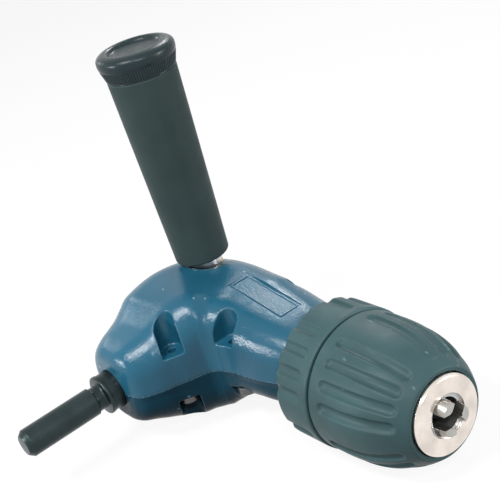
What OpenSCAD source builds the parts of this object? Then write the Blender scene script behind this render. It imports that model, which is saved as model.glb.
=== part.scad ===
// Right angle drill attachment: a drive shank turns a keyless chuck through a pair of bevel gears.
// The origin is the middle of the shank. +Y runs along the shank into the housing, +X to the chuck, +Z up the handle.

/* [Drive shank] */
// Diameter of the shank that the drill's chuck grips
shank_d = 9.5; // [8:0.25:11]
// Length of the shank's round part, bevel left out
shank_length = 24.8; // [18:0.2:40]
// Length of the bevel at the shank's tip
shank_bevel = 1.6; // [0.6:0.1:2.4]
// Depth of the relief groove behind the shank, on the radius
neck_relief = 0.6; // [0.2:0.1:1.2]
// Length of the relief groove
neck_length = 3.4; // [1.5:0.1:6]
// Diameter of the shaft's collar
collar_d = 13; // [12:0.1:13.4]
// Length of the collar that shows outside the housing
collar_show = 5.1; // [3:0.1:9]
// Height of the lip on the collar's front edge, on the radius
collar_lip = 0.25; // [0.1:0.05:0.4]
// Length of the collar's lip
collar_lip_length = 1.3; // [0.8:0.1:2]

/* [Housing] */
// Distance from the gears' crossing point to the input end face
input_reach = 45.6; // [43:0.2:60]
// Distance from the gears' crossing point to the output end face
output_reach = 57.4; // [54:0.2:75]
// Half width of the housing at the gears
body_half = 18; // [17:0.1:20]
// Height of the upper half at the gears
body_top = 24.6; // [23.8:0.1:30]
// Depth of the lower half at the gears
body_bottom = 20; // [18.5:0.1:26]
// Radius of the long rounded shoulders
shoulder_r = 10.5; // [6:0.1:12]
// Draft of the side walls
wall_draft = 0.5; // [0.1:0.1:0.8]

/* [Housing screws] */
// Diameter of the housing screws
screw_d = 4; // [3:0.1:4.4]
// Diameter of the screw heads
screw_head_d = 6.6; // [5.5:0.1:7]
// Height of the screw heads
screw_head_h = 2.6; // [1.6:0.1:4]
// Width of the screw wells
well_w = 7.3; // [7.1:0.1:7.8]
// Height of the upper well floors above the parting plane
well_floor = 9.7; // [8:0.1:10.5]
// Depth of the lower well floors under the parting plane
lower_well_floor = 6.8; // [5.5:0.1:8]
// Diameter of the small hole in each upper well floor
tip_hole_d = 2.9; // [1.5:0.1:3]
// Diameter of the locating dowels
dowel_d = 3; // [2:0.1:3.4]
// Length of the locating dowels
dowel_length = 10; // [6:0.5:14]

/* [Nameplate] */
// Length of the shallow recess on the output arm
plate_length = 26.5; // [15:0.5:27]
// Width of the recess
plate_width = 9; // [5:0.5:11]
// Depth of the recess
plate_depth = 0.45; // [0.2:0.05:0.8]

/* [Bevel gears] */
// Teeth on each gear
gear_teeth = 20; // [16:2:24]
// Pitch radius of each gear at its large end
gear_pitch_r = 12.5; // [12:0.1:12.6]
// Length of the teeth along the pitch cone
gear_face = 6; // [4:0.5:7]
// Sideways play between the teeth
gear_backlash = 0.16; // [0.12:0.02:0.3]
// Diameter of the gear hubs
hub_d = 17; // [14:0.5:18]
// Distance from the crossing point to the back of the input gear's hub
input_hub_end = 19.5; // [18.5:0.1:20]
// Distance from the crossing point to the back of the output gear's hub
output_hub_end = 18.8; // [18.2:0.1:19]
// Diameter of the cross pins that key the gears
gear_pin_d = 3; // [2:0.1:3.4]

/* [Shafts and bearings] */
// Diameter of both shafts' journals
journal_d = 10; // [9:0.1:10.4]
// Outer diameter of the bronze bushes
bush_d = 14; // [13.2:0.1:14.6]
// Share of the room between the gear and the shaft's collar that each of the two input bushes takes
input_bush_share = 0.352; // [0.25:0.002:0.37]
// Length of the output shaft's bush, flange included
output_bush_length = 13; // [8:0.1:14]
// Thickness of the bushes' flanges
bush_flange = 1.5; // [1:0.1:2]
// Thickness of the thrust washer behind the input gear
thrust_washer_t = 0.9; // [0.5:0.1:1.2]
// Thickness of the circlips
circlip_t = 1.1; // [0.8:0.1:1.3]
// Outer diameter of the ball bearing
bearing_d = 22; // [20.6:0.1:22.4]
// Width of the ball bearing
bearing_w = 6; // [5:0.1:6.4]
// Diameter of the bearing's balls
ball_d = 3.8; // [3:0.1:3.9]
// Number of balls in the bearing
ball_count = 9; // [7:1:9]
// Running clearance of shafts and threads, on the radius
run_gap = 0.05; // [0.02:0.01:0.08]

/* [Chuck] */
// Distance from the crossing point to the rear face of the chuck's rear collar
chuck_start = 58.5; // [58.3:0.1:60.5]
// Diameter of the rear collar
rear_d = 44; // [41:0.2:48]
// Length of the rear collar
rear_length = 14.3; // [12:0.1:16]
// Diameter of the front sleeve
sleeve_d = 43; // [41:0.2:48]
// Length of the front sleeve
sleeve_length = 33; // [32.4:0.1:36]
// Length of the sleeve's rounded front
dome_length = 28; // [24:0.1:31]
// Diameter of the sleeve's front ridge
ridge_d = 27.2; // [25.4:0.1:28]
// Diameter of the steel nose cap
cap_ring_d = 24.2; // [23.6:0.1:24.4]
// Diameter of the hole in the nose cap
nose_hole_d = 13; // [12.8:0.1:14]
// Length of the nose cap that stands out of the sleeve
cap_ring_show = 1.5; // [0.8:0.1:2.4]
// Diameter of the chuck's bit bore
bit_bore_d = 10.6; // [10:0.1:11]
// Radius of the round grooves in both sleeves
flute_r = 2.1; // [1.5:0.1:2.6]
// Places for grooves round a sleeve, of which each fifth stays plain
flute_places = 20; // [10:5:25]
// Diameter of the chuck's mounting thread
mount_thread_d = 9.525; // [9:0.025:10.5]
// Diameter of the screw that locks the chuck
chuck_screw_d = 5; // [4:0.1:5.4]

/* [Jaws] */
// Diameter of the jaws
jaw_d = 6; // [5.4:0.05:6.1]
// Angle between a jaw and the chuck's axis
jaw_angle = 15; // [14.6:0.1:15.2]
// Radius of the space between the jaws as drawn
jaw_opening = 2.7; // [1.5:0.1:3]
// Distance that the jaws stand out of the nose as drawn
jaw_show = 2.6; // [1:0.1:4]
// Length of the jaws along the chuck
jaw_length = 29.8; // [28:0.1:30.4]
// Half width of a jaw's gripping edge
jaw_land = 0.5; // [0.2:0.05:0.55]
// Spacing of the teeth on a jaw's back
jaw_pitch = 1.6; // [1.2:0.1:2]

/* [Side handle] */
// Distance of the handle's axis from the input shaft's axis plane, along Y
handle_offset = 1.5; // [0:0.1:2.4]
// Diameter of the grip at its base
grip_base_d = 18.4; // [16.4:0.1:20]
// Diameter of the grip at its top
grip_top_d = 22.8; // [20:0.1:24]
// Length of the grip
grip_length = 65.9; // [58:0.1:90]
// Diameter of the steel washer under the grip
foot_washer_d = 11.8; // [10:0.1:13.6]
// Thickness of the washer under the grip
foot_washer_t = 3.6; // [2.6:0.1:6]
// Diameter of the handle's threaded stud
stud_d = 8; // [6:0.1:8.4]
// Length of the threads that hold the handle
stud_reach = 6.8; // [5:0.1:6.9]
// Depth of the storage bore in the grip
store_depth = 47.2; // [30:0.1:47.4]
// Diameter of the storage bore
store_d = 13; // [9:0.5:13.4]

/* [Handle cap] */
// Diameter of the cap's smooth rim
cap_d = 25.6; // [24.6:0.1:28]
// Height of the whole cap above the grip
cap_h = 8.7; // [8:0.1:13]
// Height of the plain ring under the knurled band
cap_ring_h = 0.5; // [0.3:0.1:2.4]
// Height of the knurled band
knurl_h = 3.6; // [2:0.1:4]
// Number of ridges on the knurled band
knurl_count = 96; // [24:2:120]
// Depth of the knurling
knurl_depth = 0.3; // [0.2:0.05:0.6]
// Diameter of the dish in the cap's top
dish_d = 16.6; // [12:0.1:19]
// Depth of the dish
dish_depth = 1.2; // [0.8:0.1:4]
// Length of the cap's threaded plug
plug_length = 8; // [5:0.1:9]

/* [Hidden] */
$fn = 48;

// Overrun of every cut past the face it starts from
over = 1;
// Clearance between pieces that are pressed or screwed together for good
fit_gap = 0.02;
// Gap between flat faces that turn against each other
face_gap = 0.05;

// Places along the input shaft, counted from the crossing point
cross_y = input_reach + collar_show + neck_length + shank_length / 2;
collar_end = input_reach + collar_show;
shank_start = collar_end + neck_length;
shank_end = shank_start + shank_length;
collar_sink = 0.9;
collar_start = input_reach - collar_sink;
outer_bush_end = collar_start - face_gap;
washer_start = input_hub_end + face_gap;
inner_bush_start = washer_start + thrust_washer_t + face_gap;
input_bush_length = (outer_bush_end - inner_bush_start) * input_bush_share;
outer_bush_start = outer_bush_end - input_bush_length;
inner_bush_end = inner_bush_start + input_bush_length;
input_clip_end = outer_bush_start - face_gap;
bush_flange_d = bush_d + 4;
collar_bore_d = collar_d + 1;
shaft_tip = 7.6;
shank_tip_r = shank_d / 2 - shank_bevel * 0.85;
neck_r = shank_d / 2 - neck_relief;
clip_groove = 0.5;
clip_d = journal_d + 4.4;

// Places along the output shaft, counted from the crossing point
bearing_start = output_hub_end + face_gap;
bearing_end = bearing_start + bearing_w;
output_clip_start = bearing_end + face_gap;
seat_shoulder = 1.4;
seat_shoulder_d = bearing_d - 2.4;
output_bush_end = output_reach - face_gap;
output_bush_start = output_bush_end - output_bush_length;
shaft_room_d = journal_d + 5.2;
thread_start = chuck_start + 1.1;
shoulder_start = output_reach + 0.3;
shoulder_d = 15;
thread_length = 15;
screw_reach = 12;

// The ball bearing
race_step = 0.3;
ball_orbit_r = (bearing_d + journal_d) / 4 + 0.1;
inner_race_r = ball_orbit_r - ball_d / 2 + race_step;
outer_race_r = ball_orbit_r + ball_d / 2 - race_step;
ball_gap = 0.03;
cage_t = 1.1;
cage_w = 4.6;

// The housing
cavity_r_x = 14.2;
cavity_r_y = 14.4;
cavity_start = -3;
wall_min = 0.6;
pad_drop = 2.8;
pad_z = body_top - pad_drop;
pad_r = 7.2;
insert_d = 12;
insert_floor = 0.4;
insert_length = pad_z - cavity_r_y - insert_floor;
screw_shank_top = 7.4;
lower_hole_gap = 0.25;
well_side_gap = 0.05;
well_run = 14;
// Screw places as shares of the half width and of the two arms, with the side that each well opens to
screws_shares = [[0.878, -1.589, -26], [-0.878, -1.589, 206], [1.722, -0.822, -90], [1.722, 0.822, 90],
    [-0.533, 0.533, 135]];
dowels_shares = [[-0.62, -2.16], [2.72, 0.6]];

// Sections across the input arm: place between the corner and the end face, inner and outer half width,
// height of the top and depth of the bottom, then the width and the rise of the outer side's rounding,
// as shares of the arm, the half width, the half width, the top, the bottom, the half width and the height
input_corner_share = 1.39;
input_shares = [
    [1, 0.5, 0.46, 0.435, 0.49, 0.46, 0.9], [0.971, 0.667, 0.58, 0.51, 0.555, 0.53, 0.9],
    [0.888, 0.825, 0.7, 0.575, 0.6, 0.65, 0.86], [0.728, 0.944, 0.79, 0.635, 0.64, 0.7, 0.79],
    [0.553, 1.044, 0.84, 0.685, 0.71, 0.73, 0.73], [0.364, 1.111, 0.88, 0.745, 0.8, 0.74, 0.66],
    [0.189, 1.2, 0.93, 0.83, 0.87, 0.745, 0.59], [0, 1.278, 0.97, 0.925, 0.93, 0.75, 0.53]];
// Sections that fan round the inner corner: inner point, outer point, top and bottom, then the outer rounding
corner_shares = [
    [1.33, -1.255, -1, -0.8, 0.99, 0.945, 0.74, 0.52], [1.37, -1.21, -1, -0.25, 1, 0.955, 0.84, 0.63],
    [1.4, -1.18, -0.92, 0.36, 0.985, 0.955, 1.1, 0.8], [1.43, -1.16, -0.62, 0.8, 0.935, 0.95, 1.25, 0.88],
    [1.47, -1.135, -0.12, 1, 0.89, 0.9, 1.05, 0.9], [1.52, -1.11, 0.44, 1.03, 0.865, 0.84, 0.85, 0.88],
    [1.56, -1.1, 0.94, 1.03, 0.84, 0.765, 0.77, 0.86]];
// Sections across the output arm, in the same way as those across the input arm
output_corner_share = 1.6;
output_shares = [
    [0, 1.09, 1.02, 0.815, 0.69, 0.74, 0.83], [0.094, 1.05, 1.01, 0.79, 0.63, 0.74, 0.81],
    [0.182, 1.033, 0.995, 0.76, 0.585, 0.75, 0.79], [0.322, 1.005, 0.975, 0.725, 0.56, 0.76, 0.76],
    [0.497, 0.961, 0.95, 0.68, 0.575, 0.76, 0.74], [0.671, 0.889, 0.905, 0.635, 0.6, 0.75, 0.72],
    [0.829, 0.81, 0.835, 0.58, 0.615, 0.72, 0.7], [0.951, 0.733, 0.755, 0.53, 0.61, 0.67, 0.67],
    [1, 0.667, 0.68, 0.475, 0.585, 0.61, 0.65]];
// Largest inner shoulder as a share of a section's height, and how much taller than wide it is underneath
shoulder_share = 0.64;
lower_shoulder_share = 1.3;
shoulder_steps = 7;

// The nameplate recess
plate_x = 32.8;
plate_z = 18.8;
plate_slope = 11.1;
plate_clear = 2;

// Places along the chuck, counted from the crossing point
sleeve_gap = 0.4;
rear_end = chuck_start + rear_length;
sleeve_start = rear_end + sleeve_gap;
sleeve_end = sleeve_start + sleeve_length;
nose_end = sleeve_end + cap_ring_show;
cap_ring_t = 1;
cap_ring_length = 3.1;
cap_ring_round = 1.2;
body_end = nose_end - cap_ring_t - fit_gap;
nose_r = 10.95;
rear_wall = 2.2;
boss_r = 9;
flange_r = 17.8;
flange_end = rear_end - 0.2;
drum_r = 16.6;
drum_end = 84;
nut_start = 86.7;
nut_end = 93;
nut_groove_gap = 0.4;
nut_groove_r = 9.6;
nut_r = 15.4;
nut_slit = 0.2;
front_r = 12.4;
front_cone_start = 97.5;
front_cone_end = 101;
sleeve_bore_r = 17.2;
sleeve_step = nut_end + 0.6;
sleeve_front_r = 14.5;
sleeve_cone_start = 98.5;
sleeve_cone_end = 101.6;
lip_r = nose_r + 0.35;
lip_end = nose_end - cap_ring_length - 0.25;
race_t = 1;
race_in_r = 13.2;
race_out_r = 16.2;
thrust_ball_d = 1.6;
thrust_ball_count = 20;
thrust_orbit_r = 14.7;
thrust_cage_t = 0.7;
thrust_cage_half = 1.1;
bit_bore_start = 77;
screw_head_r = 4.2;
chuck_head_h = 3.4;
dome_steps = 9;
dome_curve = 2.8;
dome_spread = 0.65;
edge_break = 0.5;
// Grooves: height of their centre line over the surface, and where they start and end
flute_rise = 0.9;
flute_tip = 1.6;
flute_half = sqrt(flute_r * flute_r - flute_rise * flute_rise);
flute_depth = flute_r - flute_rise;
rear_flute_start = 2.6;
rear_flute_end = 11.6;
front_flute_start = 3.8;
front_flute_end = 30.2;
front_flute_drop = 6.5;
slot_steps = 6;
floor_steps = 6;
floor_share = 0.99;
ring_room = 0.25;
flute_first = 112;
flute_group = 5;

// The jaws: their axes cross the chuck's axis at jaw_cross
jaw_first = -10;
jaw_cross = nose_end + 10.5;
jaw_front = nose_end + jaw_show;
jaw_hole_end = 68.5;
jaw_tooth_depth = 0.7;
jaw_tooth_start = 12;
wedge_half = 60;
nut_thread_gap = 0.15;

// Heights of the side handle
foot_z = pad_z + face_gap;
grip_z = foot_z + foot_washer_t + face_gap;
grip_top_z = grip_z + grip_length;
stud_bottom_z = pad_z - stud_reach;
stud_hex_d = 12;
stud_hex_z = grip_z + 2;
stud_hex_h = 4;
stud_grip_length = 14;
stud_top_z = grip_z + stud_grip_length;
store_z = grip_top_z - store_depth;
grip_round = 0.7;
plug_r = 7.15;
seal_t = 0.8;
seal_out_r = 8.9;
seal_in_r = plug_r + 0.15;
seal_room = 0.1;

// The cap, counted from the top of the grip
cap_z = grip_top_z + face_gap;
cap_top_z = cap_z + cap_h;
knurl_low_r = grip_top_d / 2 + 0.1;
knurl_top_r = cap_d / 2 - knurl_depth;
cap_roof = 2.2;
cap_low_r = grip_top_d / 2 - 0.1;
cap_r = cap_d / 2;
rim_wide = 3.2;
rim_drop = 2.25;
rim_steps = 4;
dish_fillet = 0.2;
dish_lip = 0.2;
rim_bulge_share = 0.3;

module placed() { translate([0, cross_y, 0]) children(); }
module on_input() { rotate([90, 0, 0]) children(); }
module on_output() { rotate([90, 0, 90]) children(); }
module on_handle() { translate([0, handle_offset, 0]) children(); }

// A turned piece: [radius, place] points round the profile
module turned(points) { rotate_extrude() polygon(points); }

// A disc or a ring between two places along an axis
module disc(r, from, to) { translate([0, 0, from]) cylinder(r = r, h = to - from); }
module ring(out_r, in_r, from, to) {
    difference() {
        disc(out_r, from, to);
        disc(in_r, from - over, to + over);
    }
}

// The housing's outer form, as one solid lofted through the sections
function shoulder(h) = min(shoulder_r, h * shoulder_share);
function rise(h, k, wide, tall) = k == 0 ? [0, 0] : [
    wall_draft + wide * (1 - cos(90 * (k - 1) / shoulder_steps)),
    h - tall + tall * sin(90 * (k - 1) / shoulder_steps)];
function along(from, to, d) = from + (to - from) * d / norm(to - from);
function section(from, to, h, inner_rise, outer_wide, outer_share) = let (
    inner_wide = min(shoulder(h), norm(to - from) - outer_wide - 3 * wall_draft)) concat(
    [for (k = [0 : shoulder_steps + 1]) let (p = rise(h, k, inner_wide, shoulder(h) * inner_rise),
        q = along(from, to, p[0])) [q[0], q[1], p[1]]],
    [for (k = [shoulder_steps + 1 : -1 : 0]) let (p = rise(h, k, outer_wide, h * outer_share),
        q = along(to, from, p[0])) [q[0], q[1], p[1]]]);
function up(side, top, bottom) = side > 0 ? top * body_top : bottom * body_bottom;
function inner_rise(side) = side > 0 ? 1 : lower_shoulder_share;
function input_section(s, side) = let (corner = body_half * input_corner_share,
    y = -(corner + s[0] * (input_reach - corner)))
    section([s[1] * body_half, y], [-s[2] * body_half, y], up(side, s[3], s[4]), inner_rise(side),
        s[5] * body_half, s[6]);
function corner_section(s, side) = section([s[0] * body_half, s[1] * body_half],
    [s[2] * body_half, s[3] * body_half], up(side, s[4], s[5]), inner_rise(side), s[6] * body_half, s[7]);
function output_section(s, side) = let (corner = body_half * output_corner_share,
    x = corner + s[0] * (output_reach - corner))
    section([x, -s[1] * body_half], [x, s[2] * body_half], up(side, s[3], s[4]), inner_rise(side),
        s[5] * body_half, s[6]);
function housing_sections(side) = concat([for (s = input_shares) input_section(s, side)],
    [for (s = corner_shares) corner_section(s, side)], [for (s = output_shares) output_section(s, side)]);

module loft(sections) {
    n = len(sections[0]);
    last = len(sections) - 1;
    points = [for (s = sections) each s];
    walls = [for (i = [0 : last - 1], j = [0 : n - 1]) let (a = i * n + j, b = i * n + (j + 1) % n)
        each [[a, b, b + n], [a, b + n, a + n]]];
    first_end = [for (j = [1 : n - 2]) [0, j + 1, j]];
    last_end = [for (j = [1 : n - 2]) [last * n, last * n + j, last * n + j + 1]];
    polyhedron(points = points, faces = concat(walls, first_end, last_end));
}

module screw_places() {
    for (s = screws_shares) translate([s[0] * body_half, s[1] * body_half, 0]) rotate(s[2]) children();
}

module well(from, depth) {
    disc(well_w / 2, from, depth);
    translate([0, -well_w / 2 + well_side_gap, from])
        cube([well_run, well_w - 2 * well_side_gap, depth - from]);
}

// What both halves of the housing are hollowed by
module gear_room() {
    on_output() disc(cavity_r_x, cavity_start, bearing_start);
    on_input() disc(cavity_r_y, cavity_start, washer_start - face_gap);
}

module shaft_room() {
    on_output() {
        disc(bearing_d / 2 + fit_gap, bearing_start - over, bearing_end + face_gap);
        disc(seat_shoulder_d / 2, bearing_end - over, bearing_end + seat_shoulder);
        disc(shaft_room_d / 2, bearing_end, output_bush_start);
        disc(bush_d / 2 + fit_gap, output_bush_start - over, output_reach + over);
        disc(bush_flange_d / 2 + face_gap, output_bush_end - bush_flange - fit_gap, output_reach + over);
    }
    on_input() {
        disc(bush_flange_d / 2 + face_gap, washer_start - over, inner_bush_start + bush_flange + fit_gap);
        disc(bush_d / 2 + fit_gap, inner_bush_start, inner_bush_end);
        disc(clip_d / 2 + wall_min, inner_bush_end - over, outer_bush_start);
        disc(bush_d / 2 + fit_gap, outer_bush_start - over, outer_bush_end);
        disc(collar_bore_d / 2, outer_bush_end - over / 2, input_reach + over);
    }
}

module dowel_room() {
    for (d = dowels_shares) translate([d[0] * body_half, d[1] * body_half, 0])
        disc(dowel_d / 2 + fit_gap, -dowel_length / 2 - over / 2, dowel_length / 2 + over / 2);
}

module housing_upper() {
    color([0.13, 0.33, 0.5]) placed() difference() {
        loft(housing_sections(1));
        gear_room();
        shaft_room();
        dowel_room();
        screw_places() {
            well(well_floor, body_top + over);
            disc(screw_d / 2 + fit_gap, -over, screw_shank_top + fit_gap);
            disc(tip_hole_d / 2, 0, well_floor + over);
        }
        on_handle() {
            disc(pad_r, pad_z, body_top + over);
            disc(insert_d / 2 + fit_gap, pad_z - insert_length - fit_gap, body_top + over);
        }
        translate([plate_x, 0, plate_z]) rotate([0, plate_slope, 0])
            translate([-plate_length / 2, -plate_width / 2, -plate_depth])
            cube([plate_length, plate_width, plate_depth + plate_clear]);
    }
}

module housing_lower() {
    color([0.11, 0.29, 0.45]) placed() difference() {
        mirror([0, 0, 1]) loft(housing_sections(-1));
        gear_room();
        shaft_room();
        dowel_room();
        mirror([0, 0, 1]) screw_places() {
            well(lower_well_floor, body_bottom + over);
            disc(screw_d / 2 + lower_hole_gap, -over, lower_well_floor + over);
        }
    }
}

module housing_screws() {
    color([0.6, 0.61, 0.62]) placed() screw_places() difference() {
        turned([[0, -lower_well_floor - screw_head_h], [screw_head_d / 2, -lower_well_floor - screw_head_h],
            [screw_head_d / 2, -lower_well_floor], [screw_d / 2, -lower_well_floor], [screw_d / 2, screw_shank_top],
            [0, screw_shank_top]]);
        translate([0, 0, -lower_well_floor - screw_head_h]) rotate(30)
            cylinder(d = screw_d * 0.8, h = screw_head_h, $fn = 6, center = true);
    }
}

module housing_dowels() {
    color([0.7, 0.7, 0.72]) placed() for (d = dowels_shares)
        translate([d[0] * body_half, d[1] * body_half, 0])
            disc(dowel_d / 2, -dowel_length / 2, dowel_length / 2);
}

module handle_insert() {
    color([0.75, 0.6, 0.3]) placed() on_handle()
        ring(insert_d / 2, stud_d / 2 + run_gap, pad_z - insert_length, pad_z);
}

module bush(from, length, flange_from, bore_r) {
    difference() {
        union() {
            disc(bush_d / 2, from, from + length);
            disc(bush_flange_d / 2, flange_from, flange_from + bush_flange);
        }
        disc(bore_r, from - over, from + length + over);
    }
}

module input_bush_outer() {
    color([0.72, 0.5, 0.25]) placed() on_input()
        ring(bush_d / 2, journal_d / 2 + run_gap, outer_bush_start, outer_bush_end);
}

module input_bush_inner() {
    color([0.72, 0.5, 0.25]) placed() on_input()
        bush(inner_bush_start, input_bush_length, inner_bush_start, journal_d / 2 + run_gap);
}

module output_bush() {
    color([0.72, 0.5, 0.25]) placed() on_output()
        bush(output_bush_start, output_bush_length, output_bush_end - bush_flange, journal_d / 2 + run_gap);
}

module ball_track() {
    translate([0, 0, bearing_start + bearing_w / 2]) rotate_extrude() translate([ball_orbit_r, 0])
        circle(r = ball_d / 2 + ball_gap);
}

module ball_places(count, orbit_r, place) {
    for (i = [0 : count - 1]) rotate(i * 360 / count) translate([orbit_r, 0, place]) children();
}

module bearing_outer_ring() {
    color([0.72, 0.73, 0.75]) placed() on_output() difference() {
        ring(bearing_d / 2, outer_race_r, bearing_start, bearing_end);
        ball_track();
    }
}

module bearing_inner_ring() {
    color([0.72, 0.73, 0.75]) placed() on_output() difference() {
        ring(inner_race_r, journal_d / 2 + fit_gap, bearing_start, bearing_end);
        ball_track();
    }
}

module bearing_balls() {
    color([0.8, 0.8, 0.82]) placed() on_output()
        ball_places(ball_count, ball_orbit_r, bearing_start + bearing_w / 2) sphere(d = ball_d);
}

module bearing_cage() {
    middle = bearing_start + bearing_w / 2;
    color([0.7, 0.58, 0.3]) placed() on_output() difference() {
        ring(ball_orbit_r + cage_t / 2, ball_orbit_r - cage_t / 2, middle - cage_w / 2, middle + cage_w / 2);
        ball_places(ball_count, ball_orbit_r, middle) rotate([0, 90, 0])
            cylinder(r = ball_d / 2 + ball_gap, h = 3 * cage_t, center = true);
    }
}

// A straight bevel gear with its apex at the origin and its axis along +Z
gear_module = 2 * gear_pitch_r / gear_teeth;
cone_length = gear_pitch_r * sqrt(2);
virtual_r = gear_pitch_r * sqrt(2);
pressure_angle = 20;
flank_shares = [-1.2, -0.72, 0.1, 1];
function involute(angle) = tan(angle) * 180 / PI - angle;
function flank_angle(h) = acos(min(1, virtual_r * cos(pressure_angle) / (virtual_r + h)));
function half_tooth(h) = (90 / gear_teeth * cos(45) + involute(pressure_angle) - involute(flank_angle(h)))
    / cos(45) - gear_backlash / 2 / gear_pitch_r * 180 / PI;
function gear_point(scale, h, angle) = let (r = scale * (gear_pitch_r + h * cos(45)),
    z = scale * (gear_pitch_r - h * sin(45))) [r * cos(angle), r * sin(angle), z];
function gear_ring(scale, turn) = [for (i = [0 : gear_teeth - 1], side = [-1, 1], k = [0 : len(flank_shares) - 1])
    let (share = flank_shares[side < 0 ? k : len(flank_shares) - 1 - k], h = share * gear_module)
    gear_point(scale, h, turn + i * 360 / gear_teeth + side * half_tooth(h))];

module bevel_teeth(turn) {
    small = 1 - gear_face / cone_length;
    n = gear_teeth * 2 * len(flank_shares);
    points = concat(gear_ring(small, turn), gear_ring(1, turn),
        [[0, 0, small * gear_pitch_r + gear_module], [0, 0, gear_pitch_r + gear_module]]);
    walls = [for (i = [0 : n - 1]) let (j = (i + 1) % n) each [[i, n + i, n + j], [i, n + j, j]]];
    ends = [for (i = [0 : n - 1]) let (j = (i + 1) % n) each [[2 * n, i, j], [2 * n + 1, n + j, n + i]]];
    polyhedron(points = points, faces = concat(walls, ends));
}

module bevel_gear(turn, hub_end, pin_turn) {
    pin_place = (gear_pitch_r + 2 * gear_module + hub_end) / 2;
    difference() {
        union() {
            bevel_teeth(turn);
            disc(hub_d / 2, gear_pitch_r, hub_end);
        }
        disc(journal_d / 2 + fit_gap, 0, hub_end + over);
        translate([0, 0, pin_place]) rotate([0, 90, pin_turn])
            cylinder(d = gear_pin_d + 2 * fit_gap, h = hub_d + 2 * over, center = true);
    }
}

module gear_pin(hub_end, pin_turn) {
    pin_place = (gear_pitch_r + 2 * gear_module + hub_end) / 2;
    translate([0, 0, pin_place]) rotate([0, 90, pin_turn])
        cylinder(d = gear_pin_d, h = hub_d - edge_break, center = true);
}

module pin_room(hub_end) {
    pin_place = (gear_pitch_r + 2 * gear_module + hub_end) / 2;
    translate([0, 0, pin_place]) rotate([0, 90, 0])
        cylinder(d = gear_pin_d + 2 * fit_gap, h = journal_d + 2 * over, center = true);
}

module circlip(from) {
    difference() {
        ring(clip_d / 2, journal_d / 2 - clip_groove + fit_gap, from, from + circlip_t);
        translate([0, -gear_pin_d / 2, from - over]) cube([clip_d, gear_pin_d, circlip_t + 2 * over]);
    }
}

module input_shaft() {
    r = journal_d / 2;
    clip_room = input_clip_end - circlip_t - fit_gap;
    color([0.2, 0.22, 0.22]) placed() on_input() difference() {
        turned([[0, shaft_tip], [r - edge_break, shaft_tip], [r, shaft_tip + edge_break], [r, clip_room],
            [r - clip_groove, clip_room], [r - clip_groove, input_clip_end + fit_gap],
            [r, input_clip_end + fit_gap], [r, collar_start], [collar_d / 2, collar_start],
            [collar_d / 2, collar_end - collar_lip_length],
            [collar_d / 2 + collar_lip, collar_end - collar_lip_length],
            [collar_d / 2 + collar_lip, collar_end - edge_break],
            [collar_d / 2 + collar_lip - edge_break, collar_end], [neck_r, collar_end], [neck_r, shank_start],
            [shank_d / 2 - edge_break / 2, shank_start], [shank_d / 2, shank_start + edge_break / 2],
            [shank_d / 2, shank_end], [shank_tip_r, shank_end + shank_bevel], [0, shank_end + shank_bevel]]);
        pin_room(input_hub_end);
    }
}

module input_gear() {
    color([0.5, 0.5, 0.52]) placed() on_input() bevel_gear(180 / gear_teeth, input_hub_end, 0);
}

module input_gear_pin() { color([0.7, 0.7, 0.72]) placed() on_input() gear_pin(input_hub_end, 0); }

module input_circlip() {
    color([0.35, 0.35, 0.36]) placed() on_input() circlip(input_clip_end - circlip_t);
}

module input_thrust_washer() {
    color([0.72, 0.5, 0.25]) placed() on_input()
        ring(hub_d / 2, journal_d / 2 + fit_gap, washer_start - face_gap + fit_gap,
            washer_start - face_gap + fit_gap + thrust_washer_t);
}

module output_shaft() {
    r = journal_d / 2;
    clip_end = output_clip_start + circlip_t + fit_gap;
    color([0.6, 0.61, 0.62]) placed() on_output() difference() {
        turned([[0, shaft_tip], [r - edge_break, shaft_tip], [r, shaft_tip + edge_break],
            [r, output_clip_start - fit_gap], [r - clip_groove, output_clip_start - fit_gap],
            [r - clip_groove, clip_end], [r, clip_end], [r, shoulder_start], [shoulder_d / 2, shoulder_start],
            [shoulder_d / 2, thread_start], [mount_thread_d / 2 - fit_gap, thread_start],
            [mount_thread_d / 2 - fit_gap, thread_start + thread_length], [0, thread_start + thread_length]]);
        disc(chuck_screw_d / 2 + fit_gap, thread_start + thread_length - screw_reach,
            thread_start + thread_length + over);
        pin_room(output_hub_end);
    }
}

module output_gear() {
    color([0.5, 0.5, 0.52]) placed() on_output() bevel_gear(0, output_hub_end, 0);
}

module output_gear_pin() { color([0.7, 0.7, 0.72]) placed() on_output() gear_pin(output_hub_end, 0); }

module output_circlip() { color([0.35, 0.35, 0.36]) placed() on_output() circlip(output_clip_start); }

// A jaw's own frame: +Z runs back and outwards along the jaw from the point where it crosses the axis
module jaw_frame(angle) {
    rotate(angle) translate([0, 0, jaw_cross]) rotate([0, 180 - jaw_angle, 0]) children();
}

module jaw_holes() {
    for (i = [0 : 2]) jaw_frame(jaw_first + i * 120)
        disc(jaw_d / 2 + run_gap, 0, (jaw_cross - jaw_hole_end) / cos(jaw_angle));
}

// The chuck's body is made in two: a drum on the mounting thread, and the front in which the jaws slide
module chuck_body() {
    color([0.55, 0.56, 0.58]) placed() on_output() difference() {
        turned([[0, thread_start], [boss_r, thread_start], [boss_r, chuck_start + rear_wall],
            [flange_r, chuck_start + rear_wall], [flange_r, flange_end], [drum_r, flange_end],
            [drum_r, drum_end], [0, drum_end]]);
        disc(mount_thread_d / 2, thread_start - over, thread_start + thread_length + fit_gap);
        disc(chuck_screw_d / 2 + fit_gap, thread_start, bit_bore_start + over);
        disc(bit_bore_d / 2, bit_bore_start, drum_end + over);
        jaw_holes();
    }
}

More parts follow.
